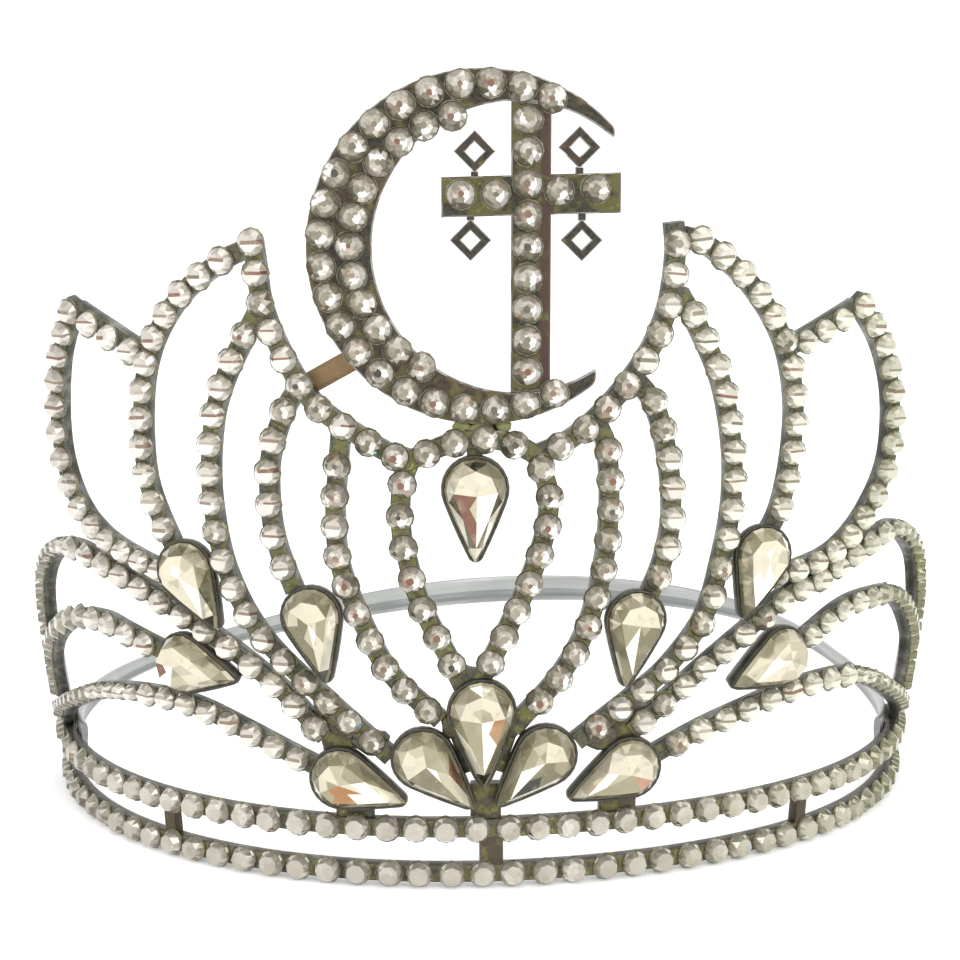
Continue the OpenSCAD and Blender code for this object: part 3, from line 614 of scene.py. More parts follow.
def plate(shape, outline, tone, edge=PLATE_EDGE, hole=None):
    """A flat plate with softened edges. The outline is in X and height, anticlockwise, and the
    hole clockwise, with as many corners."""
    n = len(outline)
    soft = edge * 0.3
    rings = ((edge, 0.0), (soft, soft), (0, edge), (0, PLATE_T - edge), (soft, PLATE_T - soft),
             (edge, PLATE_T))
    *sides, front, back = tube(len(rings), n, flip=True)
    points, faces = [], []
    for loop in (outline, hole) if hole else (outline,):
        faces += [[len(points) + i for i in side] for side in sides]
        for by, depth in rings:
            points += [(x, PLATE_Y + depth, z) for x, z in (inset(loop, by) if by else loop)]
    tones = [(0.0, *tone)] * len(faces)
    if hole:
        inner, behind = len(rings) * n, (len(rings) - 1) * n
        for k in range(n):
            # the hole runs the other way round
            m, p, q = (k + 1) % n, inner + (n - k) % n, inner + (n - k - 1) % n
            faces += [[k, m, q, p], [behind + k, behind + p, behind + q, behind + m]]
            tones += [(1.0, *tone), PLATE_BACK]
    else:
        faces += [front, back]
        tones += [(1.0, *tone), PLATE_BACK]
    shape.add(points, faces, tones)


def on_circle(cx, cz, r, angle):
    return (cx + r * math.cos(math.radians(angle)), cz + r * math.sin(math.radians(angle)))


def short_of_cut(x, z):
    return (x - CRESCENT_X) * math.cos(CUT_TURN) + (z - CRESCENT_Z) * math.sin(CUT_TURN) <= CUT_REACH


def arc(cx, r):
    """One arc of the crescent's outline, as far as the cut."""
    turns = range(ARC_FROM, ARC_TO + 1, ARC_STEP)
    return [Vector(p) for p in (on_circle(cx, CRESCENT_Z, r, angle) for angle in turns) if short_of_cut(*p)]


plate_colours = {"light": (0.5, 0.5, 0.48), "dark": (0.24, 0.23, 0.21), "face": (0.048, 0.044, 0.032),
                 "glue": (0.09, 0.092, 0.024), "brown": (0.062, 0.031, 0.021), "sheen": 0.3}
plate_metal = silvered("rubbed_plate", **plate_colours)
# the cross is rubbed red-brown on the right of its upright
cross_metal = silvered("rubbed_cross", **plate_colours, rubbed=RUBBED_FROM * MM)

crescent_loop = arc(CRESCENT_X, CRESCENT_R) + arc(CRESCENT_X + INNER_SHIFT, INNER_R)[::-1]
crescent_outline = []
for before, p, after in zip(crescent_loop[-1:] + crescent_loop, crescent_loop,
                            crescent_loop[1:] + crescent_loop[:1]):
    u, v = (before - p).normalized(), (after - p).normalized()
    filed = [p + u * TIP_FILE, p + (u + v) * TIP_PULL, p + v * TIP_FILE]
    crescent_outline += [p] if u.dot(v) < -0.8 else filed
crescent_shape = Shape()
plate(crescent_shape, crescent_outline, (0.35, 0.5))
dress(crescent_shape.piece("crescent_plate", [plate_metal], METAL_CREASE), "silvered_metal", "crescent")


def arm_edge(x, sign):
    """A point of the slanted arm's upper edge, sign 1, or lower edge, sign -1."""
    return (x, ARM_Z + (x - CROSS_X) * math.tan(math.radians(ARM_SLOPE)) + sign * CROSS_W / 2)


def circle_height(x, sign):
    """The height of the crescent's inner arc, above or below, less a hair's gap."""
    return CRESCENT_Z + sign * math.sqrt((INNER_R - 0.06) ** 2 - (x - CRESCENT_X - INNER_SHIFT) ** 2)


cross_shape = Shape()
across_top = [CROSS_X + CROSS_W * (0.5 - k / 4) for k in range(5)]
right_x, left_x = across_top[0], across_top[-1]
plate(cross_shape, [(x, circle_height(x, -1)) for x in across_top[::-1]]
      + [arm_edge(x, sign) for x, sign in ((right_x, -1), (ARM_RIGHT, -1), (ARM_RIGHT, 1), (right_x, 1))]
      + [(x, circle_height(x, 1)) for x in across_top]
      + [arm_edge(x, sign) for x, sign in ((left_x, 1), (ARM_LEFT, 1), (ARM_LEFT, -1), (left_x, -1))],
      (0.62, 0.55))
for x, z, side in LOZENGES:
    out, hole = LOZENGE_SIDE / math.sqrt(2), PIERCED_SIDE / math.sqrt(2)
    plate(cross_shape, [(x, z - out), (x + out, z), (x, z + out), (x - out, z)], (0.15, 0.4), 0.14,
          [(x, z - hole), (x - hole, z), (x, z + hole), (x + hole, z)])
    a, b = sorted((z - side * (out - 0.25), arm_edge(x, side)[1] - side * 0.2))
    plate(cross_shape, [(x - STEM_HALF, a), (x + STEM_HALF, a), (x + STEM_HALF, b), (x - STEM_HALF, b)],
          (0.15, 0.4), 0.1)
dress(cross_shape.piece("cross_plate", [cross_metal], METAL_CREASE), "silvered_metal", "cross")


# Stay. A short flat bar of brassy metal runs from the crescent's back to the left peak, and is
# soldered at both ends.
STAY_FROM = Vector((-22.4, PLATE_Y + PLATE_T * 1.5 + 0.15, 83.75))
STAY_TO = Vector((-30.6, -85.8 + PLATE_T / 2, 79.1))
STAY_HALF_W, STAY_HALF_T, STAY_AROUND, STAY_STEPS, STAY_CREASE = 1.7, 0.8, 16, 8, 40

stay_shape = Shape()
stay_section = [oval(2 * math.pi * k / STAY_AROUND, STAY_HALF_W, STAY_HALF_T, 0.75, 0.9)
                for k in range(STAY_AROUND)]
stay_spots = [STAY_FROM + (STAY_TO - STAY_FROM) * (k / STAY_STEPS) for k in range(STAY_STEPS + 1)]
# the bar's two narrow edges take the light plated colour: a painted highlight along them
sweep(stay_shape, stay_spots, [Vector((0, -1, 0))] * len(stay_spots), stay_section,
      [0.0 if k in (0, 7, 8, 15) else 1.0 for k in range(STAY_AROUND)], (0.15, 1.0))
stay_metal = silvered("stay_metal", light=(0.55, 0.48, 0.32), dark=(0.26, 0.2, 0.1), face=(0.3, 0.225, 0.11),
                      glue=(0.2, 0.15, 0.04), brown=(0.19, 0.12, 0.055), sheen=0.25)
dress(stay_shape.piece("stay", [stay_metal], STAY_CREASE), "silvered_metal", "stay_bar")


# Round stones. Machine-cut, foil-backed glass, 4.4 mm wide, is glued in single rows along every
# strip and in two rows on the crescent. Each stone's facets are painted as a kaleidoscope of
# champagne, white and grey, the foiled back's painted reflections and shade, round a small brownish
# heart that is a painted reflection of the dark room.
STONE_R, STONE_H, GIRDLE_LOW, GIRDLE_HIGH, CROWN_LOW = 2.2, 1.6, 0.1, 0.3, 0.52
SPOT_STEPS, ROW_SPAN = 8, 64
DARK, OLIVE, CHAMPAGNE = (0.035, 0.030, 0.021), (0.13, 0.118, 0.078), (0.29, 0.262, 0.205)
PALE, WHITE, FOIL_BACK = (0.485, 0.452, 0.395), (0.86, 0.835, 0.78), (0.3, 0.295, 0.27)
BROWN, RUST, STRAW = (0.17, 0.068, 0.042), (0.34, 0.165, 0.06), (0.17, 0.165, 0.055)
SHADES = (DARK, OLIVE, CHAMPAGNE, PALE, WHITE)
GLINTS = ((0.25, 0.45, 0.68), (0.75, 0.42, 0.16), (0.30, 0.62, 0.60))
# first angle, last angle, number of stones, radius
CRESCENT_ROWS = ((65, 296.5, 22, 24.0), (103, 242.5, 12, 19.7))
CROSS_SPOTS = ([(3.45, 118.9 - 4.6 * i) for i in range(9)]
               + [(-6.4, 108.1), (-1.3, 108.1), (8, 108.6), (13.4, 108.9)])
# the glue's lowest and highest ring: share of the stone's radius, height
GLUE_FOOT, GLUE_TOP, GLUE_AROUND, GLUE_CREASE = (0.86, -0.1), (0.97, 0.22), 12, 50
dice = random.Random(41)


def shade(value):
    """Facet tone of painted shade and reflection, from dark, 0, to a full painted flash of light, 1."""
    value = min(0.999, max(0.0, value)) * (len(SHADES) - 1)
    i = int(value)
    return tinted(SHADES[i], SHADES[i + 1], value - i)


def tinted(colour, other, share):
    return tuple(a + (b - a) * share for a, b in zip(colour, other))


def cut(polygon, angle, least):
    """The part of a polygon that lies at least so far out in the direction of an angle."""
    x, y = math.cos(angle), math.sin(angle)
    kept = []
    for a, b in zip(polygon, polygon[1:] + polygon[:1]):
        da, db = a[0] * x + a[1] * y - least, b[0] * x + b[1] * y - least
        if da >= 0:
            kept.append(a)
        if da * db < 0:
            kept.append(tuple(p + (q - p) * da / (da - db) for p, q in zip(a, b)))
    return kept


def middle(polygon):
    return [sum(p[i] for p in polygon) / len(polygon) for i in (0, 1)]


def front_look(facets, az):
    """A stone seen face on, painted with reflections: a broad white flash, a darker foot of painted shade,
    grey sectors and a dark heart, a painted reflection of the dark room.
    """
    flash = dice.gauss(-30, 26) if dice.random() < 0.82 else dice.uniform(-180, 180)
    width = dice.uniform(34, 58)
    foot, glow = dice.uniform(0.3, 0.48), dice.uniform(-0.06, 0.07)
    draw = dice.random()
    heart = BROWN if draw < 0.4 else DARK if draw < 0.52 else OLIVE if draw < 0.68 else shade(foot)
    heart = tinted(heart, shade(0.4), dice.uniform(0.0, 0.4))
    heart_spread = dice.uniform(90, 300)
    sectors = [dice.uniform(-0.09, 0.09) for _ in range(8)]
    brown_sector = dice.choice(range(20))
    bright = 0.95 if abs(az) < 12 else 0.86
    for kind, polygon in facets:
        u, v = middle(polygon)
        turn = math.degrees(math.atan2(v, u))
        away = (turn - flash + 540) % 360 - 180
        sector = int(turn // 45) % 8
        jump = dice.uniform(-1, 1)
        if kind == "core":
            tone = heart
        elif kind == "rim":
            tone = shade(0.24 + 0.06 * math.cos(math.radians(away)) + 0.06 * jump)
        elif abs(away) < width and not (kind == "kite" and dice.random() < 0.35):
            tone = shade(bright + 0.05 * jump)
        elif -140 < away < 0:
            tone = shade(foot + sectors[sector] * 0.7 + 0.05 * jump)
        else:
            tone = shade(0.6 + glow + sectors[sector] + 0.05 * jump - (0.05 if kind == "kite" else 0)
                         + (dice.choice((-0.14, 0, 0.03, 0.1)) if kind == "inner" else 0))
        # the heart's painted dark reflection spreads over part of the table
        if kind in ("table", "inner") and draw < 0.68 and abs((turn - heart_spread + 540) % 360 - 180) < 34:
            tone = tinted(tone, heart, 0.6)
        # one sector is tinted brown-red
        if kind in ("kite", "table") and sector == brown_sector:
            tone = tinted(tone, RUST if foot > 0.39 else BROWN, 0.5)
        yield polygon, tone


def hoop_look(facets, az):
    """A stone low on a hoop, painted with reflections: a broad pale table, softly divided, over a broken
    lower edge.
    """
    split, glow = math.radians(dice.uniform(0, 360)), dice.uniform(-0.05, 0.05) - abs(az) * 0.0004
    broken = dice.choice((0.5, 1.0, 1.6))
    for kind, polygon in facets:
        u, v = middle(polygon)
        jump = dice.uniform(-1, 1)
        half = 0.03 if u * math.cos(split) + v * math.sin(split) > 0 else -0.03
        value = 0.68 + glow + half * broken + 0.025 * jump * broken
        if kind == "rim":
            value = 0.33 + 0.06 * jump
        elif kind == "star":
            value += 0.03 + 0.05 * jump if v > -0.3 else dice.choice((-0.2, -0.1, 0.0, 0.2))
        elif kind == "kite":
            value += 0.02 + 0.07 * jump if v > -0.25 else dice.choice((-0.26, -0.14, -0.05, 0.2))
        tone = shade(value)
        if kind in ("kite", "star") and v < -0.25 and dice.random() < 0.1:
            tone = tinted(tone, dice.choice((BROWN, BROWN, RUST)), 0.5)
        yield polygon, tone


def side_look(facets, az):
    """A stone turned from the front, with a painted reflection: beige above, near white below, and a brown
    bar between.
    """
    up = math.pi / 2 + dice.gauss(0, 0.06)
    down, right, left = up + math.pi, up - math.pi / 2, up + math.pi / 2
    level, half = dice.uniform(-0.04, 0.26), dice.uniform(0.07, 0.15)
    first, last = dice.choice(((-1, dice.uniform(0.1, 1)), (dice.uniform(-0.8, 0), 1)))
    bar = tinted(BROWN if dice.random() < (0.85 if az < 0 else 0.35) else OLIVE, CHAMPAGNE,
                 dice.uniform(0.1, 0.7))
    if dice.random() < 0.3:
        bar = tinted(bar, shade(0.65), 0.7)
    glow, deep = dice.uniform(-0.05, 0.05) + (0.04 if az > 0 else 0), dice.uniform(-0.04, 0.04)
    for kind, polygon in facets:
        jump = dice.uniform(-1, 1)
        if kind == "rim":
            yield polygon, shade(0.27 + 0.06 * jump)
            continue
        lift = level if kind == "table" else level + 0.05 * jump
        over, under = 0.73 + glow + 0.03 * jump, 0.87 + deep + 0.025 * jump
        if kind == "kite":
            over, under = over - 0.06, under - (0.12 if dice.random() < 0.3 else 0.05)
        band = cut(cut(polygon, up, lift - half), down, -lift - half)
        yield cut(polygon, up, lift + half), shade(over)
        yield cut(polygon, down, half - lift), shade(under)
        yield cut(cut(band, right, first), left, -last), bar
        yield cut(band, left, -first), shade(over)
        yield cut(band, right, last), shade(under - 0.1)


def far_look(facets, az):
    """A stone at the side, where only its edge turns to the front: painted darker as shade the farther round
    it sits, with a few painted glints.
    """
    glow = dice.uniform(-0.06, 0.05) - (abs(az) - 57) * 0.004
    for kind, polygon in facets:
        value = {"rim": 0.46, "kite": 0.5, "star": 0.54}.get(kind, 0.58) + glow + dice.uniform(-0.16, 0.12)
        yield polygon, shade(0.85 if kind in ("kite", "star") and dice.random() < 0.09 else value)


LOOKS = {"front": front_look, "plate": front_look, "hoop": hoop_look, "side": side_look, "far": far_look}
TABLE_SHARES = {"hoop": 0.7, "far": 0.52}


def side_shade_and_tint(tone, az):
    """Painted shade darkens the glass toward the crown's ends, and the glass is tinted greener on its right
    side.
    """
    far = min(1.0, max(0.0, (abs(az) - 44) / 16))
    green = min(1.0, max(0.0, (az - 5) / 50))
    darkened = 1 - (0.36 + 0.12 * green) * far
    return tinted(tuple(c * k * darkened for c, k in zip(tone, (1 - 0.05 * green, 1.0, 1 - 0.14 * green))),
                  STRAW, 0.5 * green * far)


def round_stone(shape, bed, spot, out, az, style, r):
    """One stone in its bed of glue: a girdle, 16 kite halves, 8 stars, and a table that is split
    into small facets round a core or, on a stone seen from the side, into two halves."""
    up = square_to(UP, out)
    east = up.cross(out)
    lean = (dice.uniform(-0.03, 0.03), dice.uniform(-0.03, 0.03))
    spin = dice.uniform(0, 2 * math.pi)
    r = r * dice.uniform(0.985, 1.0)
    table_share = TABLE_SHARES.get(style, 0.6)
    crown_share = 0.91 if style == "side" or abs(az) > 10 else 0.93
    wander = (dice.uniform(-0.1, 0.04), dice.uniform(-0.08, 0.08))

    def circle(share, height, count, phase=0.0, about=(0, 0)):
        turns = [2 * math.pi * (k + phase) / count + spin for k in range(count)]
        return [(about[0] + share * math.cos(a), about[1] + share * math.sin(a), height) for a in turns]

    low, girdle = circle(1, GIRDLE_LOW, 16), circle(1, GIRDLE_HIGH, 16)
    edge = circle(crown_share, CROWN_LOW, 16)
    table = circle(table_share, STONE_H, 8, 0.5)
    inner = circle(table_share * dice.uniform(0.62, 0.74), STONE_H, 8)
    core = [(x * dice.uniform(0.8, 1.15), y * dice.uniform(0.8, 1.15), z)
            for x, y, z in circle(dice.uniform(0.18, 0.3), STONE_H, 8, 0, wander)]
    facets = []
    for k in range(16):
        m = (k + 1) % 16
        facets += [("rim", [low[k], low[m], girdle[m], girdle[k]]),
                   ("rim", [girdle[k], girdle[m], edge[m], edge[k]])]
    for k in range(8):
        m = (k + 1) % 8
        side = edge[(2 * k + 2) % 16]
        facets += [("kite", [edge[2 * k], edge[2 * k + 1], table[k]]),
                   ("kite", [edge[2 * k + 1], side, table[k]]), ("star", [side, table[m], table[k]])]
        if style != "side":
            facets += [("table", [table[k], table[m], inner[m]]),
                       ("inner", [inner[k], table[k], inner[m]]),
                       ("inner", [inner[k], inner[m], core[m], core[k]])]
    if style == "side":
        facets += [("table", cut(table, 0.2, 0.08)), ("table", cut(table, 0.2 + math.pi, -0.08))]
    else:
        facets.append(("core", core))
    points, faces, tones = [], [], []
    for polygon, tone in [*LOOKS[style](facets, az), (low[::-1], FOIL_BACK)]:
        if len(polygon) > 2:
            u, v = middle(polygon)
            if u > 0 > v and 0.4 < math.hypot(u, v) < 0.9 and dice.random() < 0.006:
                tone = dice.choice(GLINTS)
            faces.append(list(range(len(points), len(points) + len(polygon))))
            for x, y, z in polygon:
                tip = r * (x * lean[0] + y * lean[1]) if z > GIRDLE_LOW else 0
                points.append(spot + r * x * east + r * y * up + (z + tip) * out)
            tones.append(side_shade_and_tint(tone, az))
    shape.add(points, faces, tones)

    # glue squeezed out round the foil back
    ooze, turn = [], dice.uniform(0, 6)
    spread = 1.06 if style == "plate" else 1.035
    for share, height in (GLUE_FOOT, (spread - 0.015, 0.02), (spread, 0.14), GLUE_TOP):
        for k in range(GLUE_AROUND):
            a = 2 * math.pi * k / GLUE_AROUND
            wave = share * (1 + 0.025 * math.sin(2 * a + turn) + 0.02 * math.sin(3 * a + 2 * turn))
            ooze.append(spot + r * wave * (math.cos(a) * east + math.sin(a) * up) + height * out)
    age, green = dice.random(), dice.random() * (0.4 if style == "plate" else 1)
    bed.add(ooze, tube(4, GLUE_AROUND), (age, green, 0.0))


def style_at(az, z):
    """Which look a stone on a strip has. The farther round it sits, the likelier it is turned."""
    if abs(az) > (57 if z > 48 else 50):
        return "far"
    if z < 14:
        return "hoop"
    turned = 1.0 if abs(az) > 31.5 else 0.82 if abs(az) > 21 else 0.25 if abs(az) > 12 else 0.0
    if az > 12:
        turned = max(turned, 0.7)
    return "side" if dice.random() < turned else "front"


def row_spots(ease, rows, first, last, count, drop=0.0, stray=0.0):
    """Where a row's stones sit: the spot, its outward side, its azimuth, its look and its radius."""
    line = curve(rows, SPOT_STEPS)
    path = [shell(q.x, q.y) for q in line]
    walked = [0.0]
    for a, b in zip(path, path[1:]):
        walked.append(walked[-1] + (b - a).length)
    step = (walked[-1] - first - last) / (count - 1)

    def at(d):
        d = min(max(d, 0.0), walked[-1])
        i = max(k for k in range(len(walked) - 1) if walked[k] <= d)
        f = (d - walked[i]) / (walked[i + 1] - walked[i])
        return line[i] + (line[i + 1] - line[i]) * f

    for i in range(count):
        d = first + step * i + dice.uniform(-stray, stray)
        q, a, b = at(d), at(d + 0.5), at(d - 0.5)
        t = (shell(*a) - shell(*b)).normalized()
        n = square_to(facing(q.x, ease), t)
        yield shell(*q) - drop * UP, n, q.x, style_at(q.x, q.y), min(STONE_R, step / 2 - 0.02)


def on_plate(x, z):
    return Vector((x, PLATE_Y, z)), Vector((0, -1, 0)), 0, "plate", STONE_R


def stone_paint(name):
    """Foil-backed glass: the facets' painted reflections and shade under a hard clear gloss, finely scuffed.
    """
    paint = Paint(name, IOR=1.5, Coat_Weight=0.6, Coat_Roughness=0.04, Coat_IOR=1.45)
    grime = paint.noise(900, 4, 0.6)
    haze = paint.noise(240, 2)
    stained = paint.mix(paint.above(grime, 0.56, 0.74) * 0.5, paint.tone(), (0.24, 0.22, 0.14))
    paint.feed(Base_Color=paint.mix(paint.above(haze, 0.5, 0.8) * 0.3, stained, (0.62, 0.58, 0.46)),
               Metallic=0.42 + haze * 0.2,
               Roughness=0.12 + paint.above(grime, 0.5, 0.8) * 0.3)
    paint.bump(grime, 0.06, 0.00005)
    return paint.material


def glue_paint():
    """Old jeweller's glue, yellowed and green where it has drawn the metal's tarnish."""
    paint = Paint("old_glue", IOR=1.48, Metallic=0.0)
    age, green, _ = paint.parts(paint.tone())
    grain = paint.noise(1300, 4, 0.6)
    base = paint.mix(age, (0.13, 0.125, 0.085), (0.22, 0.205, 0.125))
    base = paint.mix(paint.above(green + grain * 0.5, 0.7, 1.1), base, (0.18, 0.185, 0.055))
    paint.feed(Base_Color=paint.mix(paint.above(grain, 0.5, 0.7) * 0.6, base, (0.07, 0.065, 0.045)),
               Roughness=0.35 + grain * 0.3)
    paint.bump(grain, 0.3, 0.0001)
    return paint.material


round_glass, old_glue = stone_paint("round_stone_glass"), glue_paint()
bed_shape = Shape()


def stone_piece(name, spots, *nodes):
    shape = Shape()
    for spot, out, az, style, r in spots:
        round_stone(shape, bed_shape, spot, out, az, style, r)
    dress(shape.piece(name, [round_glass]), "crystal", *nodes)


# Each piece's rows: the strip, the bare length at its start and end, the number of stones, and how
# far they sit below its middle and stray along it. The last five pieces are only made here
for name, nodes, ease, rows in (
        ("hoop_row_lower", ["hoop_stones_lower"], 0, [(level(ROW_SPAN, LOWER_Z), 1.1, 1.1, 39, 0, 0.2)]),
        ("hoop_row_upper", ["hoop_stones_upper"], 0, [(level(ROW_SPAN, UPPER_Z), 3.3, 0, 40, 0, 0.2)]),
        ("crest_rows", ["crest_stones"], PETAL_EASE,
         [(ARCH, 3.6, 4.4, 4), (SIXTH_LEFT, 5.2, 6.4, 7), (SIXTH_RIGHT, 0.7, 3.9, 8)]),
        ("left_petal_rows", ["left_petal_stones"], PETAL_EASE,
         [(PEAK_LEFT, 0.3, 1.1, 10), (FIFTH_LEFT, 5.1, 2.6, 10), (FOURTH_LEFT, 5.2, 4.2, 6),
          (THIRD_LEFT, 4.2, 3.9, 17)]),
        ("right_petal_rows", ["right_petal_stones"], PETAL_EASE,
         [(PEAK_RIGHT, 3.2, 3, 9), (FIFTH_RIGHT, 4, 6.1, 10), (FOURTH_RIGHT, 5, 3.1, 7),
          (THIRD_RIGHT, 3.9, 4, 17)]),
        ("left_outer_rows", [], OUTER_EASE,
         [(SECOND_LEFT, 4.0, 8.3, 12), (OUTER_LEFT, 1.8, 23.1, 10), (OUTER_LEFT, 46.4, 2.4, 5),
          (BROW_LEFT, 3.7, 2.4, 3, 1.0)]),
        ("right_outer_rows", [], OUTER_EASE,
         [(SECOND_RIGHT, 2.5, 6.7, 12), (OUTER_RIGHT, 1.4, 23.9, 10), (OUTER_RIGHT, 46.7, 2.4, 5),
          (BROW_RIGHT, 3.6, 2.7, 3, 0.6)]),
        ("left_loop_rows", [], 0,
         [(LOOP1_LEFT, 57.1, 2.2, 13), (LOOP2_LEFT, 33.0, 4.9, 8), (LOOP3_LEFT, 53.2, 3.6, 8),
          (LOOP1_LEFT, 4.0, 61.6, 17), (LOOP2_LEFT, 9.0, 41.1, 7), (LOOP3_LEFT, 9.0, 37.2, 14)]),
        ("right_loop_rows", [], 0,
         [(LOOP1_RIGHT, 60.1, 2.4, 14), (LOOP2_RIGHT, 48.2, 3.7, 6), (LOOP3_RIGHT, 44.8, 6.9, 9),
          (LOOP1_RIGHT, 4.0, 62.6, 18), (LOOP2_RIGHT, 9.0, 27.8, 13), (LOOP3_RIGHT, 9.0, 47.4, 11)]),
        ("hoop_end_rows", [], 0,
         [([(side * az, z) for az in range(ROW_SPAN + 2, HOOP_END + 1, 2)], 1.8, 0.8, 5)
          for z in (LOWER_Z, UPPER_Z) for side in (-1, 1)])):
    stone_piece(name, [spot for row in rows for spot in row_spots(ease, *row)], *nodes)

stone_piece("crescent_rows",
            [on_plate(*on_circle(CRESCENT_X, CRESCENT_Z, r, first + (last - first) * i / (count - 1)))
             for first, last, count, r in CRESCENT_ROWS for i in range(count)], "crescent_stones")
stone_piece("cross_rows", [on_plate(x, z) for x, z in CROSS_SPOTS], "cross_stones")
# old glue fills the join at the crescent's foot
for az, z, w, h in ((-4.1, 73.7, 2.8, 1.8), (-2.2, 73.3, 4.2, 2.3), (0, 73.6, 2.4, 1.9)):
    solder(bed_shape, az, z, PETAL_EASE, w, h, tone=(0.95, 0.0))
dress(bed_shape.piece("glue_beds", [old_glue], GLUE_CREASE), "crystal")


# Pear stones. Twelve pear-cut stones, 16 mm long, sit in the cups: a straight girdle, a crown of
# long facets and a broad table, through which the foiled back shows as wedges round one point.
# The heights run from the girdle's foot over its top, the bevel and the table to the point.
GIRDLE_FOOT, GIRDLE_TOP, BEVEL_TOP, TABLE_Z, CORE_Z, POINT_Z = 0.12, 1.4, 2.0, 3.92, 3.98, 4.0
PEAR_GAP, TIP_GAP = 0.02, 0.55
# The facets' tones are painted reflections and shade: W a white flash, L, C and M light to mid champagne, G
# and D olive to dark, and B, R and P browns.
GLASS_TONES = {"W": (0.9, 0.86, 0.72), "L": (0.58, 0.535, 0.41), "C": (0.43, 0.395, 0.285),
               "M": (0.29, 0.265, 0.17), "G": (0.17, 0.155, 0.09), "D": (0.04, 0.036, 0.026),
               "B": BROWN, "R": RUST, "P": (0.42, 0.25, 0.16)}
PEAR_BACK = (0.3, 0.29, 0.25)
# piece, node, seat, tones of the kites, of the stars, of the table's wedges and of its heart
PEARS = (
    ("pendant_pear", "pendant_stone", PENDANT, "LWLMDLWW", "MGMMCLGM", "WWLLLLBB", "WWLLLLBC"),
    ("fan_pear_middle", "fan_stone_middle", FAN_MIDDLE, "DMWMWCMW", "MMGMMCMW", "WRLLLLMM", "WWMMCLMM"),
    ("fan_pear_left", "fan_stone_left", FAN_LEFT, "WBMMCCWC", "WMMMCMBM", "CMMCLLGG", "WMMLLLGG"),
    ("fan_pear_right", "fan_stone_right", FAN_RIGHT, "MLPMCMMC", "MCLMMMMM", "DGMLLCMW", "GGGLLMCW"),
    ("fan_pear_far_left", "fan_stone_far_left", FAN_FAR_LEFT, "WMCMGLBW", "WMMGCMGC", "WMCLLMRW", "LCCLMRRR"),
    ("fan_pear_far_right", "fan_stone_far_right", FAN_FAR_RIGHT,
     "WMMGLCLL", "MGGMCCWL", "MMPLLLLW", "MMPLCLLC"),
    ("petal_pear_left", "left_petal_stone", PETAL_SEAT_LEFT, "DWWMMCBG", "WWGMMCMG", "LMLLLCGG", "WLLLLGGC"),
    ("petal_pear_right", "right_petal_stone", PETAL_SEAT_RIGHT,
     "MWMMCCLM", "WLMMCMMM", "GGLLLLMW", "GMLLLLMW"),
    ("outer_pear_left", "left_outer_stone", OUTER_SEAT_LEFT, "DGLGMMLM", "WMMGMGMM", "WLCLLLLL", "WLLWWLCL"),
    ("outer_pear_right", "right_outer_stone", OUTER_SEAT_RIGHT,
     "MMGWMMCC", "MGWMMMCC", "WLCLLLLW", "WLLLWLLL"),
    ("loop_pear_left", "left_loop_stone", LOOP_SEAT_LEFT, "GCMMPMCW", "MCCMMMML", "LLLLBWCL", "CLLLWWMC"),
    ("loop_pear_right", "right_loop_stone", LOOP_SEAT_RIGHT, "MCMLWCLC", "MMCWCLMC", "LCLCCCLW", "LLCMCLCW"))


def pear_points(size):
    """The girdle's sixteen corners, from the tip up the right side and round."""
    r, tip = PEAR_R * size + PEAR_GAP, Vector((0, TIP_GAP - PEAR_REACH * size))
    slant = math.asin(r / (PEAR_REACH * size))
    tangent = Vector((r * math.cos(slant), -r * math.sin(slant)))
    right = [tip, tip + (tangent - tip) * 0.2 + Vector((0.25, 0)),
             tip + (tangent - tip) * 0.6 + Vector((0.16, 0)), tangent]
    for k in range(1, 6):
        a = -slant + (math.pi / 2 + slant) * k / 5
        right.append(Vector((r * math.cos(a), r * math.sin(a))))
    return right + [Vector((-p.x, p.y)) for p in right[1:-1]][::-1]


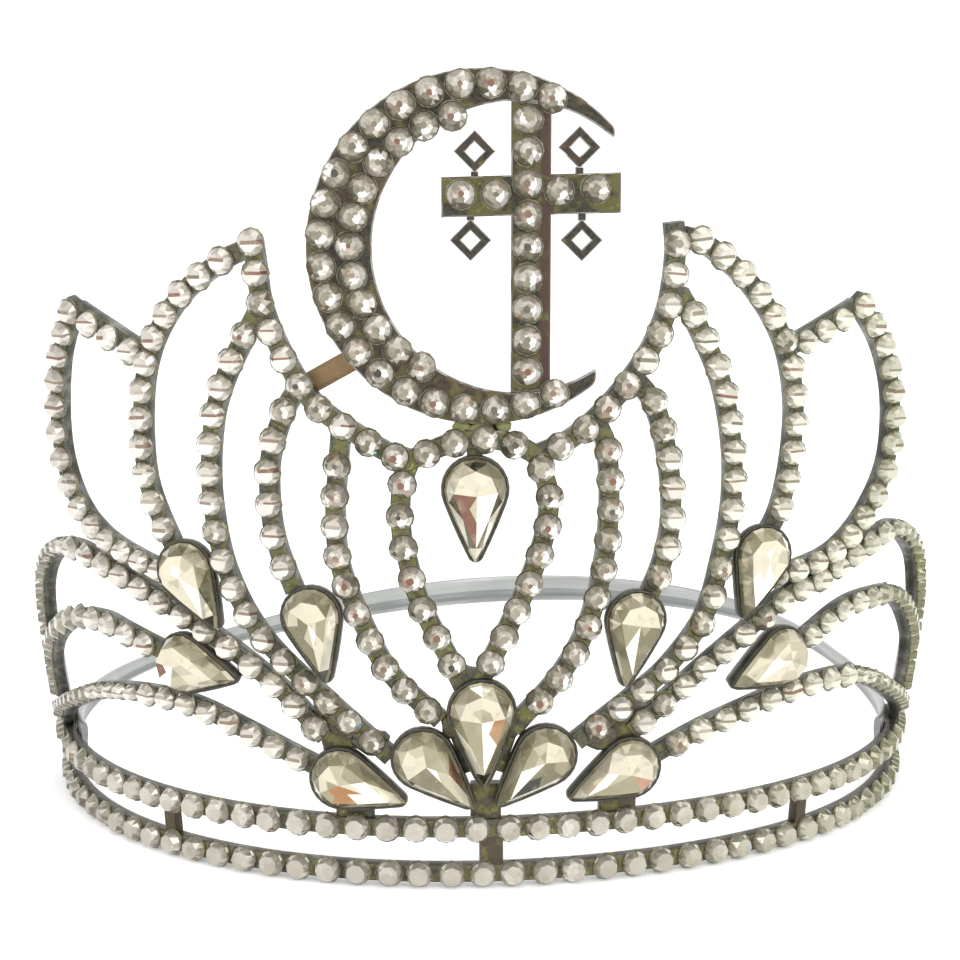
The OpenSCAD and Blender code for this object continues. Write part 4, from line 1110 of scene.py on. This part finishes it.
def pear_stone(name, node, seat, kites, stars, wedges, hearts, seed):
    """Each string has one tone for every facet, from the tip's right side round to its left."""
    luck = random.Random(seed)
    size = seat[3]
    place = seat_frame(seat)
    girdle = pear_points(size)
    centre = Vector((luck.uniform(-0.25, 0.25), (-0.05 - luck.uniform(0, 0.12)) * PEAR_R * size))
    head, chest = Vector((0, -0.5)), Vector((0, -0.6))
    table = [head + (girdle[2 * k] - head) * (0.70 if k else 0.74) for k in range(8)]
    inner = [centre + (p - centre) * luck.uniform(0.42, 0.62) for p in table]
    shoulder = [chest + (p - chest) * 0.93 for p in girdle]
    points = []
    for group, z in ((girdle, GIRDLE_FOOT), (girdle, GIRDLE_TOP), (shoulder, BEVEL_TOP), (table, TABLE_Z),
                     (inner, CORE_Z), ([centre], POINT_Z)):
        points += [place @ Vector((p.x, p.y, z)) for p in group]
    low, top, bevel, flat, core, point = 0, 16, 32, 48, 56, 64
    faces, tones = [list(range(16))[::-1]], [PEAR_BACK]

    def facet(corners, key, spread):
        wave = 1 + luck.uniform(-spread, spread)
        faces.append(corners)
        tones.append(tuple(min(1.0, c * wave) for c in GLASS_TONES[key]))

    # the girdle's and bevel's tones are painted shade
    for k in range(16):
        m = (k + 1) % 16
        facet([low + k, low + m, top + m, top + k], "G", 0.3)
        facet([top + k, top + m, bevel + m, bevel + k], luck.choice("MMCCG"), 0.15)
    for k in range(8):
        m = (k + 1) % 8
        facet([bevel + 2 * k, bevel + 2 * k + 1, flat + k], kites[k], 0.12)
        facet([bevel + (2 * k - 1) % 16, bevel + 2 * k, flat + k], kites[k], 0.2)
        facet([bevel + 2 * k + 1, flat + m, flat + k], stars[k], 0.1)
        facet([flat + k, flat + m, core + m, core + k], wedges[k], 0.06)
        facet([core + k, core + m, point], hearts[k], 0.06)
    shape = Shape()
    shape.add(points, faces, tones)
    dress(shape.piece(name, [pear_glass]), "crystal", node)


pear_glass = stone_paint("pear_stone_glass")
for number, row in enumerate(PEARS):
    pear_stone(*row, seed=number)


# Studio. A white dish of a floor with a rising rim, in metres, a soft light overhead and one on
# each side, and the camera at the photograph's place.
# radius, height
DISH_RINGS = ((0.5, 0.0), (1.0, 0.0), (1.4, 0.02), (1.8, 0.14), (2.1, 0.42), (2.25, 0.85), (2.3, 1.5),
              (2.3, 2.4))
DISH_AROUND = 96
# name, place, aim, size, power
LIGHTS = (("overhead", (0.1, -0.2, 1.6), (0, 0, 0.05), (1.6, 1.2), 10),
          ("key", (0.9, -1.3, 0.9), (0, 0, 0.06), (0.9, 0.9), 8),
          ("fill", (-1.3, -0.9, 0.7), (0, 0, 0.06), (0.9, 0.9), 4))
WORLD_STRENGTH = 0.72
CAMERA_AT, CAMERA_DOWN, LENS, SENSOR = (-0.0036, -0.371, 0.1105), 9.04, 71.25, 36

dish_turns = [2 * math.pi * k / DISH_AROUND for k in range(DISH_AROUND)]
dish_points = [(r * math.cos(a), r * math.sin(a), z) for r, z in DISH_RINGS for a in dish_turns]
dish_faces = [face[::-1] for face in tube(len(DISH_RINGS), DISH_AROUND)[:-1]]
dish_mesh = bpy.data.meshes.new("studio_floor")
dish_mesh.from_pydata(dish_points, [], dish_faces)
dish_mesh.shade_smooth()
floor_paint = Paint("studio_floor", Roughness=0.9, Emission_Color=(1, 1, 1, 1), Emission_Strength=0.22)
floor_colour = floor_paint.mix(floor_paint.noise(3, 2), (0.90, 0.90, 0.895), (0.94, 0.94, 0.935))
floor_paint.feed(Base_Color=floor_colour)
dish_mesh.materials.append(floor_paint.material)
dish = bpy.data.objects.new("studio_floor", dish_mesh)
bpy.context.scene.collection.objects.link(dish)

for name, at, toward, size, power in LIGHTS:
    lamp = bpy.data.lights.new(name, "AREA")
    lamp.shape = "RECTANGLE"
    lamp.size, lamp.size_y = size
    lamp.energy = power
    light = bpy.data.objects.new(name, lamp)
    light.location = at
    light.rotation_euler = (Vector(toward) - Vector(at)).to_track_quat("-Z", "Y").to_euler()
    bpy.context.scene.collection.objects.link(light)
world = bpy.data.worlds.new("studio")
bpy.context.scene.world = world
world.use_nodes = True
world.node_tree.nodes["Background"].inputs["Color"].default_value = (1, 1, 1, 1)
world.node_tree.nodes["Background"].inputs["Strength"].default_value = WORLD_STRENGTH
bpy.context.scene.view_settings.view_transform = "Standard"

camera_data = bpy.data.cameras.new("camera")
camera_data.sensor_width, camera_data.lens = SENSOR, LENS
camera_data.clip_start, camera_data.clip_end = 0.01, 20
camera = bpy.data.objects.new("camera", camera_data)
camera.location = CAMERA_AT
camera.rotation_euler = (math.radians(90 - CAMERA_DOWN), 0, 0)
bpy.context.scene.collection.objects.link(camera)
bpy.context.scene.camera = camera
